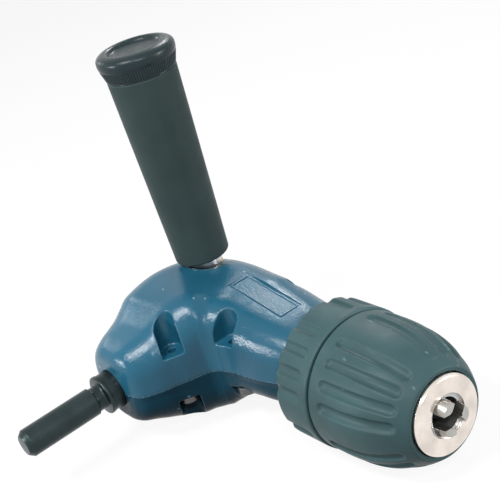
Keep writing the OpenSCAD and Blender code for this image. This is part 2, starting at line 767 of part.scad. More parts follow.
module chuck_front() {
    color([0.58, 0.59, 0.61]) placed() on_output() difference() {
        turned([[0, drum_end], [nut_groove_r, drum_end], [nut_groove_r, nut_end + nut_groove_gap],
            [front_r, nut_end + nut_groove_gap], [front_r, front_cone_start], [nose_r, front_cone_end],
            [nose_r, body_end], [0, body_end]]);
        disc(bit_bore_d / 2, drum_end - over, body_end + over);
        jaw_holes();
    }
}

module chuck_screw() {
    head_start = bit_bore_start + fit_gap;
    color([0.3, 0.3, 0.32]) placed() on_output() difference() {
        turned([[0, thread_start + thread_length - screw_reach + edge_break],
            [chuck_screw_d / 2, thread_start + thread_length - screw_reach + edge_break],
            [chuck_screw_d / 2, head_start], [screw_head_r, head_start],
            [screw_head_r, head_start + chuck_head_h], [0, head_start + chuck_head_h]]);
        translate([0, 0, head_start + chuck_head_h])
            cylinder(r = chuck_screw_d / 2, h = chuck_head_h, $fn = 6, center = true);
    }
}

// One round-bottomed groove that tapers to a point at both ends, from one [radius, place] point to another
module flute(from, to) {
    run = norm(to - from);
    lean = atan2(to[0] - from[0], to[1] - from[1]);
    translate([from[0], 0, from[1]]) rotate([0, lean, 0])
        turned([[0, -flute_tip], [flute_r * 0.6, -flute_tip * 0.75], [flute_r * 0.9, -flute_tip * 0.35],
            [flute_r, 0], [flute_r, run], [flute_r * 0.9, run + flute_tip * 0.35],
            [flute_r * 0.6, run + flute_tip * 0.75], [0, run + flute_tip]]);
}

module flute_round() {
    for (i = [0 : flute_places - 1])
        if ((i + 1) % flute_group != 0) rotate(flute_first + i * 360 / flute_places) children();
}

module chuck_collar() {
    r = rear_d / 2;
    flute_at = r + flute_rise;
    color([0.2, 0.25, 0.26]) placed() on_output() difference() {
        turned([[boss_r + fit_gap, chuck_start], [r - 2 * edge_break, chuck_start],
            [r, chuck_start + 2 * edge_break], [r, rear_end - edge_break], [r - edge_break, rear_end],
            [flange_r + fit_gap, rear_end], [flange_r + fit_gap, chuck_start + rear_wall - fit_gap],
            [boss_r + fit_gap, chuck_start + rear_wall - fit_gap]]);
        flute_round() flute([flute_at, chuck_start - rear_flute_start],
            [flute_at, chuck_start + rear_flute_end - flute_tip]);
    }
}

// The dome's outline from its start to a share of its length, on a given radius
function dome(r, steps, last) = let (start = sleeve_end - dome_length, drop = sleeve_d / 2 - ridge_d / 2)
    [for (k = [0 : steps]) let (u = last * pow(k / steps, dome_spread))
        [r - drop * pow(u, dome_curve), start + dome_length * u]];

// A groove's outline, seen from outside: a long slot with rounded ends
function slot_outline(from, to, r) = concat(
    [for (k = [0 : slot_steps]) let (a = 180 + 180 * k / slot_steps) [r * cos(a), from + r + r * sin(a)]],
    [for (k = [0 : slot_steps]) let (a = 180 * k / slot_steps) [r * cos(a), to - r + r * sin(a)]]);

module chuck_sleeve() {
    r = sleeve_d / 2;
    floor_r = r - flute_depth;
    color([0.2, 0.25, 0.26]) placed() on_output() difference() {
        turned(concat([[sleeve_bore_r, sleeve_start], [r - edge_break, sleeve_start],
            [r, sleeve_start + edge_break]], dome(r, dome_steps, 1),
            [[cap_ring_d / 2 + ring_room, sleeve_end], [cap_ring_d / 2 + ring_room, lip_end], [lip_r, lip_end],
            [lip_r, sleeve_cone_end], [sleeve_front_r, sleeve_cone_start], [sleeve_front_r, sleeve_step],
            [sleeve_bore_r, sleeve_step]]));
        difference() {
            flute_round() translate([floor_r - front_flute_drop, 0, 0]) rotate([90, 0, 90])
                linear_extrude(2 * front_flute_drop) polygon(slot_outline(sleeve_start + front_flute_start,
                    sleeve_start + front_flute_end, flute_half));
            turned(concat([[0, sleeve_start], [floor_r, sleeve_start]], dome(floor_r, floor_steps, floor_share),
                [[0, sleeve_end - dome_length * (1 - floor_share)]]));
        }
    }
}

module nose_cap() {
    r = cap_ring_d / 2;
    start = nose_end - cap_ring_length;
    color([0.8, 0.78, 0.76]) placed() on_output()
        turned([[nose_r + fit_gap, start], [r, start], [r, nose_end - cap_ring_round * 0.8],
            [r - cap_ring_round * 0.3, nose_end - cap_ring_round * 0.3], [r - cap_ring_round, nose_end],
            [nose_hole_d / 2, nose_end], [nose_hole_d / 2, nose_end - cap_ring_t],
            [nose_r + fit_gap, nose_end - cap_ring_t]]);
}

module chuck_nut() {
    grow = jaw_d / 2 / cos(jaw_angle) + nut_thread_gap;
    in_start = (jaw_cross - nut_start) * tan(jaw_angle) + grow;
    in_end = (jaw_cross - nut_end) * tan(jaw_angle) + grow;
    color([0.45, 0.46, 0.48]) placed() on_output() difference() {
        turned([[in_start, nut_start], [nut_r, nut_start], [nut_r, nut_end], [in_end, nut_end]]);
        translate([-nut_r - over, -nut_slit / 2, nut_start - over])
            cube([2 * nut_r + 2 * over, nut_slit, nut_end - nut_start + 2 * over]);
    }
}

module nut_ring() {
    color([0.6, 0.61, 0.63]) placed() on_output()
        ring(sleeve_bore_r - fit_gap, nut_r + fit_gap, nut_start, nut_end);
}

module chuck_thrust_race() {
    color([0.7, 0.71, 0.73]) placed() on_output()
        ring(race_out_r, race_in_r, drum_end, drum_end + race_t);
}

module thrust_balls() {
    color([0.8, 0.8, 0.82]) placed() on_output()
        ball_places(thrust_ball_count, thrust_orbit_r, (drum_end + race_t + nut_start) / 2)
            sphere(d = thrust_ball_d);
}

module thrust_cage() {
    middle = (drum_end + race_t + nut_start) / 2;
    color([0.7, 0.58, 0.3]) placed() on_output() difference() {
        ring(thrust_orbit_r + thrust_cage_half, thrust_orbit_r - thrust_cage_half,
            middle - thrust_cage_t / 2, middle + thrust_cage_t / 2);
        ball_places(thrust_ball_count, thrust_orbit_r, middle) sphere(r = thrust_ball_d / 2 + ball_gap);
    }
}

// A jaw: a slanted rod with a wedge-shaped tip, a square front and teeth on its back
module jaw(angle) {
    tip = (jaw_cross - jaw_front) / cos(jaw_angle);
    tail = (jaw_cross - jaw_front + jaw_length) / cos(jaw_angle);
    wedge_run = 2 * jaw_d;
    teeth = floor((tail - tip - jaw_tooth_start) / jaw_pitch);
    on_output() difference() {
        intersection() {
            jaw_frame(angle) disc(jaw_d / 2, tip - over, tail);
            rotate(angle) translate([0, 0, jaw_front - jaw_length - jaw_d]) linear_extrude(jaw_length + jaw_d)
                polygon([[jaw_opening, -jaw_land],
                    [jaw_opening + wedge_run * cos(wedge_half), -jaw_land - wedge_run * sin(wedge_half)],
                    [2 * wedge_run, -jaw_land - wedge_run * sin(wedge_half)],
                    [2 * wedge_run, jaw_land + wedge_run * sin(wedge_half)],
                    [jaw_opening + wedge_run * cos(wedge_half), jaw_land + wedge_run * sin(wedge_half)],
                    [jaw_opening, jaw_land]]);
        }
        jaw_frame(angle) intersection() {
            turned(concat([[jaw_d, tip + jaw_tooth_start]],
                [for (i = [0 : teeth - 1]) each [
                    [jaw_d / 2, tip + jaw_tooth_start + i * jaw_pitch],
                    [jaw_d / 2 - jaw_tooth_depth, tip + jaw_tooth_start + (i + 0.5) * jaw_pitch]]],
                [[jaw_d / 2, tip + jaw_tooth_start + teeth * jaw_pitch],
                [jaw_d, tip + jaw_tooth_start + teeth * jaw_pitch]]));
            translate([-2 * jaw_d - jaw_d / 4, -jaw_d, 0]) cube([2 * jaw_d, 2 * jaw_d, tail + over]);
        }
    }
}

module jaw_1() { color([0.78, 0.78, 0.78]) placed() jaw(jaw_first); }
module jaw_2() { color([0.78, 0.78, 0.78]) placed() jaw(jaw_first + 120); }
module jaw_3() { color([0.78, 0.78, 0.78]) placed() jaw(jaw_first + 240); }

module handle_washer() {
    color([0.7, 0.71, 0.72]) placed() on_handle()
        ring(foot_washer_d / 2, stud_d / 2 + run_gap, foot_z, foot_z + foot_washer_t);
}

module handle_stud() {
    color([0.6, 0.61, 0.62]) placed() on_handle() {
        disc(stud_d / 2, stud_bottom_z, stud_top_z);
        translate([0, 0, stud_hex_z]) cylinder(d = stud_hex_d, h = stud_hex_h, $fn = 6);
    }
}

module handle_grip() {
    low = grip_base_d / 2;
    high = grip_top_d / 2;
    color([0.19, 0.22, 0.22]) placed() on_handle() difference() {
        turned([[0, grip_z], [low - grip_round, grip_z], [low, grip_z + grip_round],
            [high, grip_top_z - grip_round / 2], [high - grip_round / 2, grip_top_z], [0, grip_top_z]]);
        disc(stud_d / 2 + fit_gap, grip_z - over, stud_top_z + fit_gap);
        translate([0, 0, stud_hex_z - fit_gap])
            cylinder(d = stud_hex_d + 2 * fit_gap, h = stud_hex_h + 2 * fit_gap, $fn = 6);
        disc(store_d / 2, store_z, grip_top_z + over);
        disc(plug_r + run_gap, grip_top_z - plug_length - over, grip_top_z + over);
        disc(seal_out_r + seal_room, grip_top_z - seal_t - seal_room, grip_top_z + over);
    }
}

module cap_seal() {
    color([0.1, 0.1, 0.1]) placed() on_handle()
        ring(seal_out_r, seal_in_r, cap_z - seal_t, cap_z);
}

// The knurled band's outline: one ridge and one valley for each count
function knurl_outline(r) = [for (i = [0 : knurl_count - 1], k = [0, 1])
    let (angle = (i + k / 2) * 360 / knurl_count, reach = r - k * knurl_depth)
    [reach * cos(angle), reach * sin(angle)]];

module handle_cap() {
    band_start = cap_z + cap_ring_h;
    band_top = band_start + knurl_h;
    bulge_z = band_top + (cap_h - cap_ring_h - knurl_h) * rim_bulge_share;
    color([0.16, 0.18, 0.19]) placed() on_handle() difference() {
        union() {
            disc(plug_r, cap_z - plug_length, cap_z + over);
            turned([[0, cap_z], [cap_low_r, cap_z], [knurl_low_r - 2 * knurl_depth, band_start + knurl_depth],
                [knurl_top_r - 2 * knurl_depth, band_top], [knurl_top_r + knurl_depth / 2, band_top],
                [cap_r, bulge_z], for (i = [0 : rim_steps]) let (turn = i * 90 / rim_steps)
                    [cap_r - rim_wide * (1 - cos(turn)), cap_top_z - rim_drop * (1 - sin(turn))], [0, cap_top_z]]);
            translate([0, 0, band_start])
                linear_extrude(knurl_h + knurl_depth / 2, scale = knurl_top_r / knurl_low_r)
                polygon(knurl_outline(knurl_low_r));
        }
        turned([[0, cap_top_z - dish_depth], [dish_d / 2 - edge_break, cap_top_z - dish_depth],
            [dish_d / 2, cap_top_z - dish_depth + dish_fillet], [dish_d / 2 + edge_break, cap_top_z - dish_lip],
            [cap_r - rim_wide, cap_top_z + fit_gap], [cap_r - rim_wide, cap_top_z + over], [0, cap_top_z + over]]);
        disc(store_d / 2 - over, cap_z - plug_length - over, cap_top_z - dish_depth - cap_roof);
    }
}

housing_upper();
housing_lower();
housing_screws();
housing_dowels();
handle_insert();
input_bush_outer();
input_bush_inner();
output_bush();
bearing_outer_ring();
input_shaft();
input_gear();
input_gear_pin();
input_circlip();
input_thrust_washer();
output_shaft();
output_gear();
output_gear_pin();
bearing_inner_ring();
output_circlip();
chuck_body();
chuck_front();
chuck_screw();
chuck_collar();
nose_cap();
chuck_thrust_race();
bearing_cage();
bearing_balls();
chuck_sleeve();
chuck_nut();
nut_ring();
thrust_cage();
thrust_balls();
jaw_1();
jaw_2();
jaw_3();
handle_washer();
handle_grip();
handle_stud();
cap_seal();
handle_cap();
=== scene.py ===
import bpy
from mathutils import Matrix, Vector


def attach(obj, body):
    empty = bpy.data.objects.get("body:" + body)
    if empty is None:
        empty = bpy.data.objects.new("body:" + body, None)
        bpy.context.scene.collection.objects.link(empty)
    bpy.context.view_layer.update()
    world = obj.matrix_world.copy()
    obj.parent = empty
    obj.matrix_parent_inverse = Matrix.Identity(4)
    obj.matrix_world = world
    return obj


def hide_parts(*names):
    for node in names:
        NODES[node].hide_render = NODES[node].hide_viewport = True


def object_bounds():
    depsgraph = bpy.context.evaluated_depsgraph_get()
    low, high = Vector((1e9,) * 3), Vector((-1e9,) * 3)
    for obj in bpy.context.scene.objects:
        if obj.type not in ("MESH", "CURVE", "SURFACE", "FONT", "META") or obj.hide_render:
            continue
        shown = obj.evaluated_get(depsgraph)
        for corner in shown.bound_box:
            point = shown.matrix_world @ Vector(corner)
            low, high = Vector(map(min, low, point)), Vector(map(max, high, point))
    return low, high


bl_info = {
    "name": "Right angle drill attachment",
    "version": (1, 0, 0),
    "blender": (4, 5, 0),
    "location": "View3D > Sidebar > Angle drive",
    "description": "Builds the painted housing, the chuck, the shank and the side handle round the packed solids",
    "category": "Add Mesh",
}

import math

import bmesh
import bpy
from bpy.props import FloatProperty, FloatVectorProperty, IntProperty, PointerProperty
from bpy.types import Operator, Panel, PropertyGroup
from mathutils import Matrix, Vector

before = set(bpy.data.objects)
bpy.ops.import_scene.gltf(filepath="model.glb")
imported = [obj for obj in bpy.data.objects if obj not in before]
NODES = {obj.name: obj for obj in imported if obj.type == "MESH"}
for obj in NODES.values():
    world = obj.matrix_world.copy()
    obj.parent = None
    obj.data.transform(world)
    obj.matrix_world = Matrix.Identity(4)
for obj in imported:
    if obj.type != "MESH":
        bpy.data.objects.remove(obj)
CAD_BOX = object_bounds()

# Where the two shafts' axes cross, and the frames in which the pieces are made.
CROSSING = Matrix.Translation((0, 0.0665, 0))
ON_OUTPUT = CROSSING @ Matrix(((0, 0, 1, 0), (1, 0, 0, 0), (0, 1, 0, 0), (0, 0, 0, 1)))
ON_INPUT = CROSSING @ Matrix.Rotation(math.radians(90), 4, "X")
FULL_TURN = 2 * math.pi


def length(name, description, default):
    """A size in metres, as the sidebar shows it."""
    return FloatProperty(name=name, description=description, default=default, min=0, precision=5,
                         subtype="DISTANCE", unit="LENGTH")


def colour(name, description, default):
    """A finish colour, as the sidebar shows it."""
    return FloatVectorProperty(name=name, description=description, default=default, size=3, min=0, max=1,
                               subtype="COLOR")


class HousingSizes(PropertyGroup):
    """Sizes of the two housing halves."""

    input_reach: length("Input reach", "From the crossing point to the input end face", 0.0456)
    output_reach: length("Output reach", "From the crossing point to the output end face", 0.0574)
    body_half: length("Half width", "Half width of the housing at the gears", 0.018)
    body_top: length("Top height", "Height of the upper half at the gears", 0.0246)
    body_bottom: length("Bottom depth", "Depth of the lower half at the gears", 0.02)
    shoulder_r: length("Shoulder radius", "Radius of the long rounded shoulders", 0.0105)
    wall_draft: length("Wall draft", "Draft of the side walls", 0.0005)
    well_w: length("Well width", "Width of the screw wells", 0.0073)
    well_floor: length("Well floor", "Height of the upper well floors over the parting plane", 0.0097)
    lower_well_floor: length("Lower well floor", "Depth of the lower well floors", 0.0068)
    plate_length: length("Plate length", "Length of the shallow recess on the output arm", 0.0265)
    plate_width: length("Plate width", "Width of the shallow recess", 0.009)
    plate_depth: length("Plate depth", "Depth of the shallow recess", 0.00045)
    cell: length("Cell", "Grid on which the casting's edges are softened", 0.00030)


class ShankSizes(PropertyGroup):
    """Sizes of the drive shank and its collar."""

    shank_d: length("Shank diameter", "Diameter of the round shank", 0.0095)
    shank_length: length("Shank length", "Length of the round part", 0.0248)
    shank_bevel: length("Tip bevel", "Length of the bevel at the tip", 0.0016)
    neck_length: length("Relief length", "Length of the relief groove", 0.0034)
    neck_relief: length("Relief depth", "Depth of the relief groove", 0.0006)
    collar_d: length("Collar diameter", "Diameter of the collar", 0.013)
    collar_show: length("Collar length", "Length of the collar outside the housing", 0.0051)
    collar_lip: length("Lip height", "Height of the lip on the collar's front edge", 0.00025)
    journal_d: length("Journal diameter", "Diameter of the shaft inside the housing", 0.01)


class ChuckSizes(PropertyGroup):
    """Sizes of the chuck's collar, sleeve and nose."""

    chuck_start: length("Chuck start", "From the crossing point to the collar's rear face", 0.0585)
    rear_d: length("Collar diameter", "Diameter of the rear collar", 0.044)
    rear_length: length("Collar length", "Length of the rear collar", 0.0143)
    sleeve_d: length("Sleeve diameter", "Diameter of the front sleeve", 0.043)
    sleeve_length: length("Sleeve length", "Length of the front sleeve", 0.033)
    dome_length: length("Dome length", "Length of the sleeve's rounded front", 0.028)
    ridge_d: length("Front diameter", "Diameter of the sleeve's front ridge", 0.0272)
    ring_d: length("Nose diameter", "Diameter of the steel nose cap", 0.0242)
    ring_show: length("Nose length", "Length of the nose cap outside the sleeve", 0.0015)
    nose_hole_d: length("Nose hole", "Diameter of the hole in the nose cap", 0.013)
    flute_r: length("Groove radius", "Radius of the grooves' round section", 0.0021)
    flute_rise: length("Groove rise", "Height of the round section's centre over the surface", 0.0009)
    flute_places: IntProperty(name="Groove places", description="Places for grooves round a sleeve, of which "
                              "each fifth stays plain", default=20, min=5)
    cell: length("Cell", "Grid on which the moulded edges are softened", 0.00030)


class HandleSizes(PropertyGroup):
    """Sizes of the side handle and its screw cap."""

    offset: length("Offset", "Distance of the handle's axis from the crossing point, along the shank", 0.0015)
    foot_z: length("Foot height", "Height of the housing's spot face", 0.0218)
    washer_d: length("Foot washer diameter", "Diameter of the washer under the grip", 0.0118)
    washer_t: length("Foot washer thickness", "Thickness of the washer under the grip", 0.0036)
    base_d: length("Base diameter", "Diameter of the grip at its base", 0.0184)
    top_d: length("Top diameter", "Diameter of the grip at its top", 0.0228)
    grip_length: length("Grip length", "Length of the grip", 0.0659)
    store_depth: length("Store depth", "Depth of the hollow under the screw cap", 0.0472)
    cap_d: length("Cap diameter", "Diameter of the cap's smooth rim", 0.0256)
    cap_h: length("Cap height", "Height of the cap over the grip", 0.0087)
    ring_h: length("Plain ring height", "Height of the plain ring under the knurled band", 0.0005)
    knurl_h: length("Knurl height", "Height of the knurled band", 0.0036)
    knurl_depth: length("Knurl depth", "Depth of the knurling", 0.0003)
    knurl_count: IntProperty(name="Ridges", description="Ridges on the knurled band", default=96, min=12)
    rim_wide: length("Rim width", "Width of the rounded rim", 0.0032)
    rim_drop: length("Rim drop", "Drop of the rounded rim to its widest place", 0.00225)
    dish_d: length("Dish diameter", "Diameter of the dish in the cap's top", 0.0166)
    dish_depth: length("Dish depth", "Depth of the dish", 0.0012)


class FinishColours(PropertyGroup):
    """Colours of the finishes."""

    paint: colour("Paint", "Gloss paint on the housing", (0.012, 0.094, 0.156))
    black_oxide: colour("Black oxide", "Blackened steel of the drive shank", (0.030, 0.045, 0.047))
    sleeve: colour("Sleeve plastic", "Moulded sleeves of the chuck", (0.042, 0.085, 0.092))
    grip: colour("Grip plastic", "Fine-grained plastic of the grip", (0.028, 0.044, 0.044))
    cap: colour("Cap plastic", "Glossier plastic of the screw cap", (0.014, 0.026, 0.029))
    nose: colour("Nose steel", "Polished steel of the nose cap", (0.84, 0.76, 0.69))
    steel: colour("Bright steel", "Ground steel of the jaws and pins", (0.46, 0.455, 0.43))


# Mesh helpers.


def piece_from(name, bm):
    """Turns a bmesh into an object at the origin."""
    mesh = bpy.data.meshes.new(name)
    bm.to_mesh(mesh)
    bm.free()
    piece = bpy.data.objects.new(name, mesh)
    bpy.context.scene.collection.objects.link(piece)
    return piece


def turned(profile, place, segments=128, angle=FULL_TURN):
    """A turned solid or shell. The profile's points are (radius, place along the axis, corner radius)."""
    bm = bmesh.new()
    points = [bm.verts.new((p[0], 0, p[1])) for p in profile]
    for a, b in zip(points, points[1:]):
        bm.edges.new((a, b))
    if profile[0][0] > 0:
        bm.edges.new((points[-1], points[0]))
    corners = {}
    for point, p in zip(points, profile):
        if len(p) > 2:
            corners.setdefault(p[2], []).append(point)
    for radius, verts in corners.items():
        bmesh.ops.bevel(bm, geom=verts, offset=radius, offset_type="OFFSET", segments=4, profile=0.5,
                        affect="VERTICES", material=-1, clamp_overlap=True)
    bmesh.ops.spin(bm, geom=bm.verts[:] + bm.edges[:], cent=(0, 0, 0), axis=(0, 0, 1), angle=angle,
                   steps=segments, use_merge=True)
    bmesh.ops.remove_doubles(bm, verts=bm.verts, dist=1e-7)
    bmesh.ops.recalc_face_normals(bm, faces=bm.faces)
    bmesh.ops.transform(bm, matrix=place, verts=bm.verts)
    return bm


def add_disc(bm, place, radius, start, end, segments=64):
    """Adds a cylinder between two places along the local Z axis."""
    middle = Matrix.Translation((0, 0, (start + end) / 2))
    bmesh.ops.create_cone(bm, cap_ends=True, segments=segments, radius1=radius, radius2=radius,
                          depth=end - start, matrix=place @ middle)


def add_block(bm, place, size):
    """Adds a box of that size, centred on its place."""
    bmesh.ops.create_cube(bm, size=1, matrix=place @ Matrix.Diagonal((*size, 1)))


def loft(stations):
    """A closed solid through outlines that all have the same number of points."""
    bm = bmesh.new()
    across = len(stations[0])
    made = bmesh.ops.create_grid(bm, x_segments=across, y_segments=len(stations) - 1, size=1)
    for vert, point in zip(made["verts"], (p for s in stations for p in s + s[:1])):
        vert.co = point
    bmesh.ops.remove_doubles(bm, verts=bm.verts, dist=1e-7)
    bmesh.ops.holes_fill(bm, edges=[e for e in bm.edges if e.is_boundary], sides=0)
    bmesh.ops.recalc_face_normals(bm, faces=bm.faces)
    return bm


def baked(piece):
    """Applies the piece's modifiers to its mesh."""
    seen = bpy.context.evaluated_depsgraph_get()
    seen.update()
    mesh = bpy.data.meshes.new_from_object(piece.evaluated_get(seen))
    old = piece.data
    piece.modifiers.clear()
    piece.data = mesh
    mesh.name = piece.name
    bpy.data.meshes.remove(old)
    return piece


def cut(piece, bm, operation="DIFFERENCE"):
    """Cuts a bmesh out of the piece, or joins it on."""
    tool = piece_from("cutter", bm)
    step = piece.modifiers.new("cut", "BOOLEAN")
    step.object = tool
    step.operation = operation
    step.solver = "EXACT"
    step.use_self = True
    baked(piece)
    mesh = tool.data
    bpy.data.objects.remove(tool)
    bpy.data.meshes.remove(mesh)
    return piece


def softened(piece, cell, rounds, keep):
    """Rounds every edge of a casting or moulding on a fine grid, and thins the mesh to a share of its faces."""
    cell = cell
    grid = piece.modifiers.new("grid", "REMESH")
    grid.mode = "VOXEL"
    grid.voxel_size = cell
    ease = piece.modifiers.new("ease", "SMOOTH")
    ease.factor = 0.5
    ease.iterations = rounds
    baked(piece)
    if keep < 1:
        thin = piece.modifiers.new("thin", "DECIMATE")
        thin.ratio = keep
        baked(piece)
    piece.data.shade_smooth()
    return piece


def edged(piece, width, segments=3, angle=30):
    """Breaks the sharp edges of a machined piece and keeps its flats flat."""
    if width:
        edge = piece.modifiers.new("edge", "BEVEL")
        edge.width = width
        edge.segments = segments
        edge.limit_method = "ANGLE"
        edge.angle_limit = math.radians(angle)
        edge.harden_normals = False
    piece.data.shade_smooth()
    even = piece.modifiers.new("even", "WEIGHTED_NORMAL")
    even.keep_sharp = True
    even.weight = 60
    return piece


def copied(name, node, width):
    """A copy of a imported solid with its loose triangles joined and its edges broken."""
    bm = bmesh.new()
    bm.from_mesh(NODES[node].data)
    bmesh.ops.remove_doubles(bm, verts=bm.verts, dist=1e-7)
    bmesh.ops.dissolve_limit(bm, angle_limit=math.radians(1), verts=bm.verts, edges=bm.edges)
    return edged(piece_from(name, bm), width, 2)


def fitted(piece, body, nodes, finish):
    """Gives a piece its body, the solids that it stands for and its finish."""
    piece.data.materials.clear()
    piece.data.materials.append(finish)
    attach(piece, body)
    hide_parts(*nodes)
    return piece


# Finishes.


class Finish:
    """A procedural material in the making: a Principled shader fed by patterns on Object coordinates."""

    def __init__(self, name, base, roughness, metallic=0.0, **sockets):
        self.made = bpy.data.materials.new(name)
        self.made.use_nodes = True
        self.made.diffuse_color = (*base, 1)
        tree = self.made.node_tree
        self.nodes, self.links = tree.nodes, tree.links
        self.shader = self.nodes["Principled BSDF"]
        self.shader.inputs["Base Color"].default_value = (*base, 1)
        self.shader.inputs["Roughness"].default_value = roughness
        self.shader.inputs["Metallic"].default_value = metallic
        for socket, value in sockets.items():
            self.shader.inputs[socket.replace("_", " ")].default_value = value
        self.place = self.nodes.new("ShaderNodeTexCoord").outputs["Object"]
        self.height = None

    def noise(self, scale, detail=2.0, roughness=0.5, stretch=(1, 1, 1)):
        """Noise with about one feature in 1/scale metres."""
        node = self.nodes.new("ShaderNodeTexNoise")
        node.inputs["Scale"].default_value = scale
        node.inputs["Detail"].default_value = detail
        node.inputs["Roughness"].default_value = roughness
        self.links.new(self.mapped(stretch), node.inputs["Vector"])
        return node.outputs["Fac"]

    def mapped(self, stretch):
        """Object coordinates, stretched along the axes."""
        if stretch == (1, 1, 1):
            return self.place
        node = self.nodes.new("ShaderNodeMapping")
        node.inputs["Scale"].default_value = stretch
        self.links.new(self.place, node.inputs["Vector"])
        return node.outputs["Vector"]

    def grains(self, scale):
        """Rounded cells with about one in 1/scale metres."""
        node = self.nodes.new("ShaderNodeTexVoronoi")
        node.feature = "SMOOTH_F1"
        node.inputs["Scale"].default_value = scale
        self.links.new(self.place, node.inputs["Vector"])
        return node.outputs["Distance"]

    def edges(self):
        """White on sharp outer edges and black in grooves, from the mesh's own shape."""
        return self.nodes.new("ShaderNodeNewGeometry").outputs["Pointiness"]

    def ranged(self, value, low, high, to_low, to_high):
        """Maps a pattern from one range to another."""
        node = self.nodes.new("ShaderNodeMapRange")
        for socket, number in (("From Min", low), ("From Max", high), ("To Min", to_low), ("To Max", to_high)):
            node.inputs[socket].default_value = number
        self.links.new(value, node.inputs["Value"])
        return node.outputs["Result"]

    def tinted(self, share, first, second):
        """Blends two colours, or a pattern's colour and another, into the base colour."""
        node = self.nodes.new("ShaderNodeMix")
        node.data_type = "RGBA"
        self.links.new(share, node.inputs["Factor"])
        for socket, value in ((6, first), (7, second)):
            if isinstance(value, bpy.types.NodeSocket):
                self.links.new(value, node.inputs[socket])
            else:
                node.inputs[socket].default_value = (*value, 1)
        self.links.new(node.outputs[2], self.shader.inputs["Base Color"])
        return node.outputs[2]

    def rough(self, value):
        self.links.new(value, self.shader.inputs["Roughness"])

    def bump(self, value, depth, strength=1.0):
        """Adds relief of that depth in metres."""
        node = self.nodes.new("ShaderNodeBump")
        node.inputs["Distance"].default_value = depth
        node.inputs["Strength"].default_value = strength
        self.links.new(value, node.inputs["Height"])
        if self.height is not None:
            self.links.new(self.height, node.inputs["Normal"])
        self.height = node.outputs["Normal"]
        self.links.new(self.height, self.shader.inputs["Normal"])
        return self


def shaded(tone, factor):
    """A colour made lighter or darker."""
    return tuple(min(1.0, c * factor) for c in tone)


# Paler paint for the edges: partly thin worn paint, partly a painted highlight.
WEAR_AND_HIGHLIGHT_PAINT = (0.17, 0.31, 0.42)


def paint_finish(name, base, gloss=0.32):
    """Gloss paint with orange peel over a casting, thinner and paler on its edges, partly as worn paint and
    partly as a painted highlight.
    """
    finish = Finish(name, base, 0.2, Specular_IOR_Level=gloss)
    cloud = finish.noise(45, 3)
    body = finish.tinted(finish.ranged(cloud, 0.3, 0.7, 0, 1), shaded(base, 0.86), shaded(base, 1.12))
    # Edges lightened by pointiness: partly wear, partly a painted highlight on the rounded edges.
    finish.tinted(finish.ranged(finish.edges(), 0.525, 0.58, 0, 0.7), body, WEAR_AND_HIGHLIGHT_PAINT)
    finish.rough(finish.ranged(finish.noise(160, 4), 0.3, 0.7, 0.16, 0.26))
    finish.bump(finish.noise(400, 1), 0.00004, 0.5).bump(finish.noise(1500, 2, 0.7), 0.0001, 0.9)
    return finish.made


def moulded_finish(name, base, roughness, grain, gloss=0.2):
    """Moulded plastic with a fine grain, lighter along its edges, partly where it is rubbed and partly as a
    painted highlight.
    """
    finish = Finish(name, base, roughness, Specular_IOR_Level=gloss)
    cloud = finish.noise(70, 4)
    body = finish.tinted(finish.ranged(cloud, 0.3, 0.7, 0, 1), shaded(base, 0.85), shaded(base, 1.15))
    # Edges lightened by pointiness: partly rubbing, partly a painted highlight.
    finish.tinted(finish.ranged(finish.edges(), 0.515, 0.57, 0, 0.55), body, shaded(base, 2.6))
    finish.rough(finish.ranged(finish.noise(220, 4), 0.3, 0.7, roughness - 0.06, roughness + 0.08))
    finish.bump(finish.grains(1 / grain), grain / 14, 0.6).bump(finish.noise(2.6 / grain, 2), grain / 20, 0.5)
    return finish.made


def turned_finish(name, base, roughness, stretch, metallic=1.0, depth=0.000008):
    """Turned or ground steel: fine marks round the axis, with small stains and scratches."""
    finish = Finish(name, base, roughness, metallic)
    stain = finish.noise(140, 4)
    finish.tinted(finish.ranged(stain, 0.35, 0.7, 0, 1), shaded(base, 0.82), shaded(base, 1.1))
    marks = finish.noise(1, 3, 0.6, stretch)
    finish.rough(finish.ranged(marks, 0.3, 0.7, roughness * 0.75, roughness * 1.3))
    finish.bump(marks, depth, 0.6).bump(finish.noise(1800, 2), depth / 2, 0.3)
    return finish.made


ALONG_Y = (40, 5200, 40)
ALONG_X = (5200, 40, 40)
ALONG_Z = (40, 40, 5200)


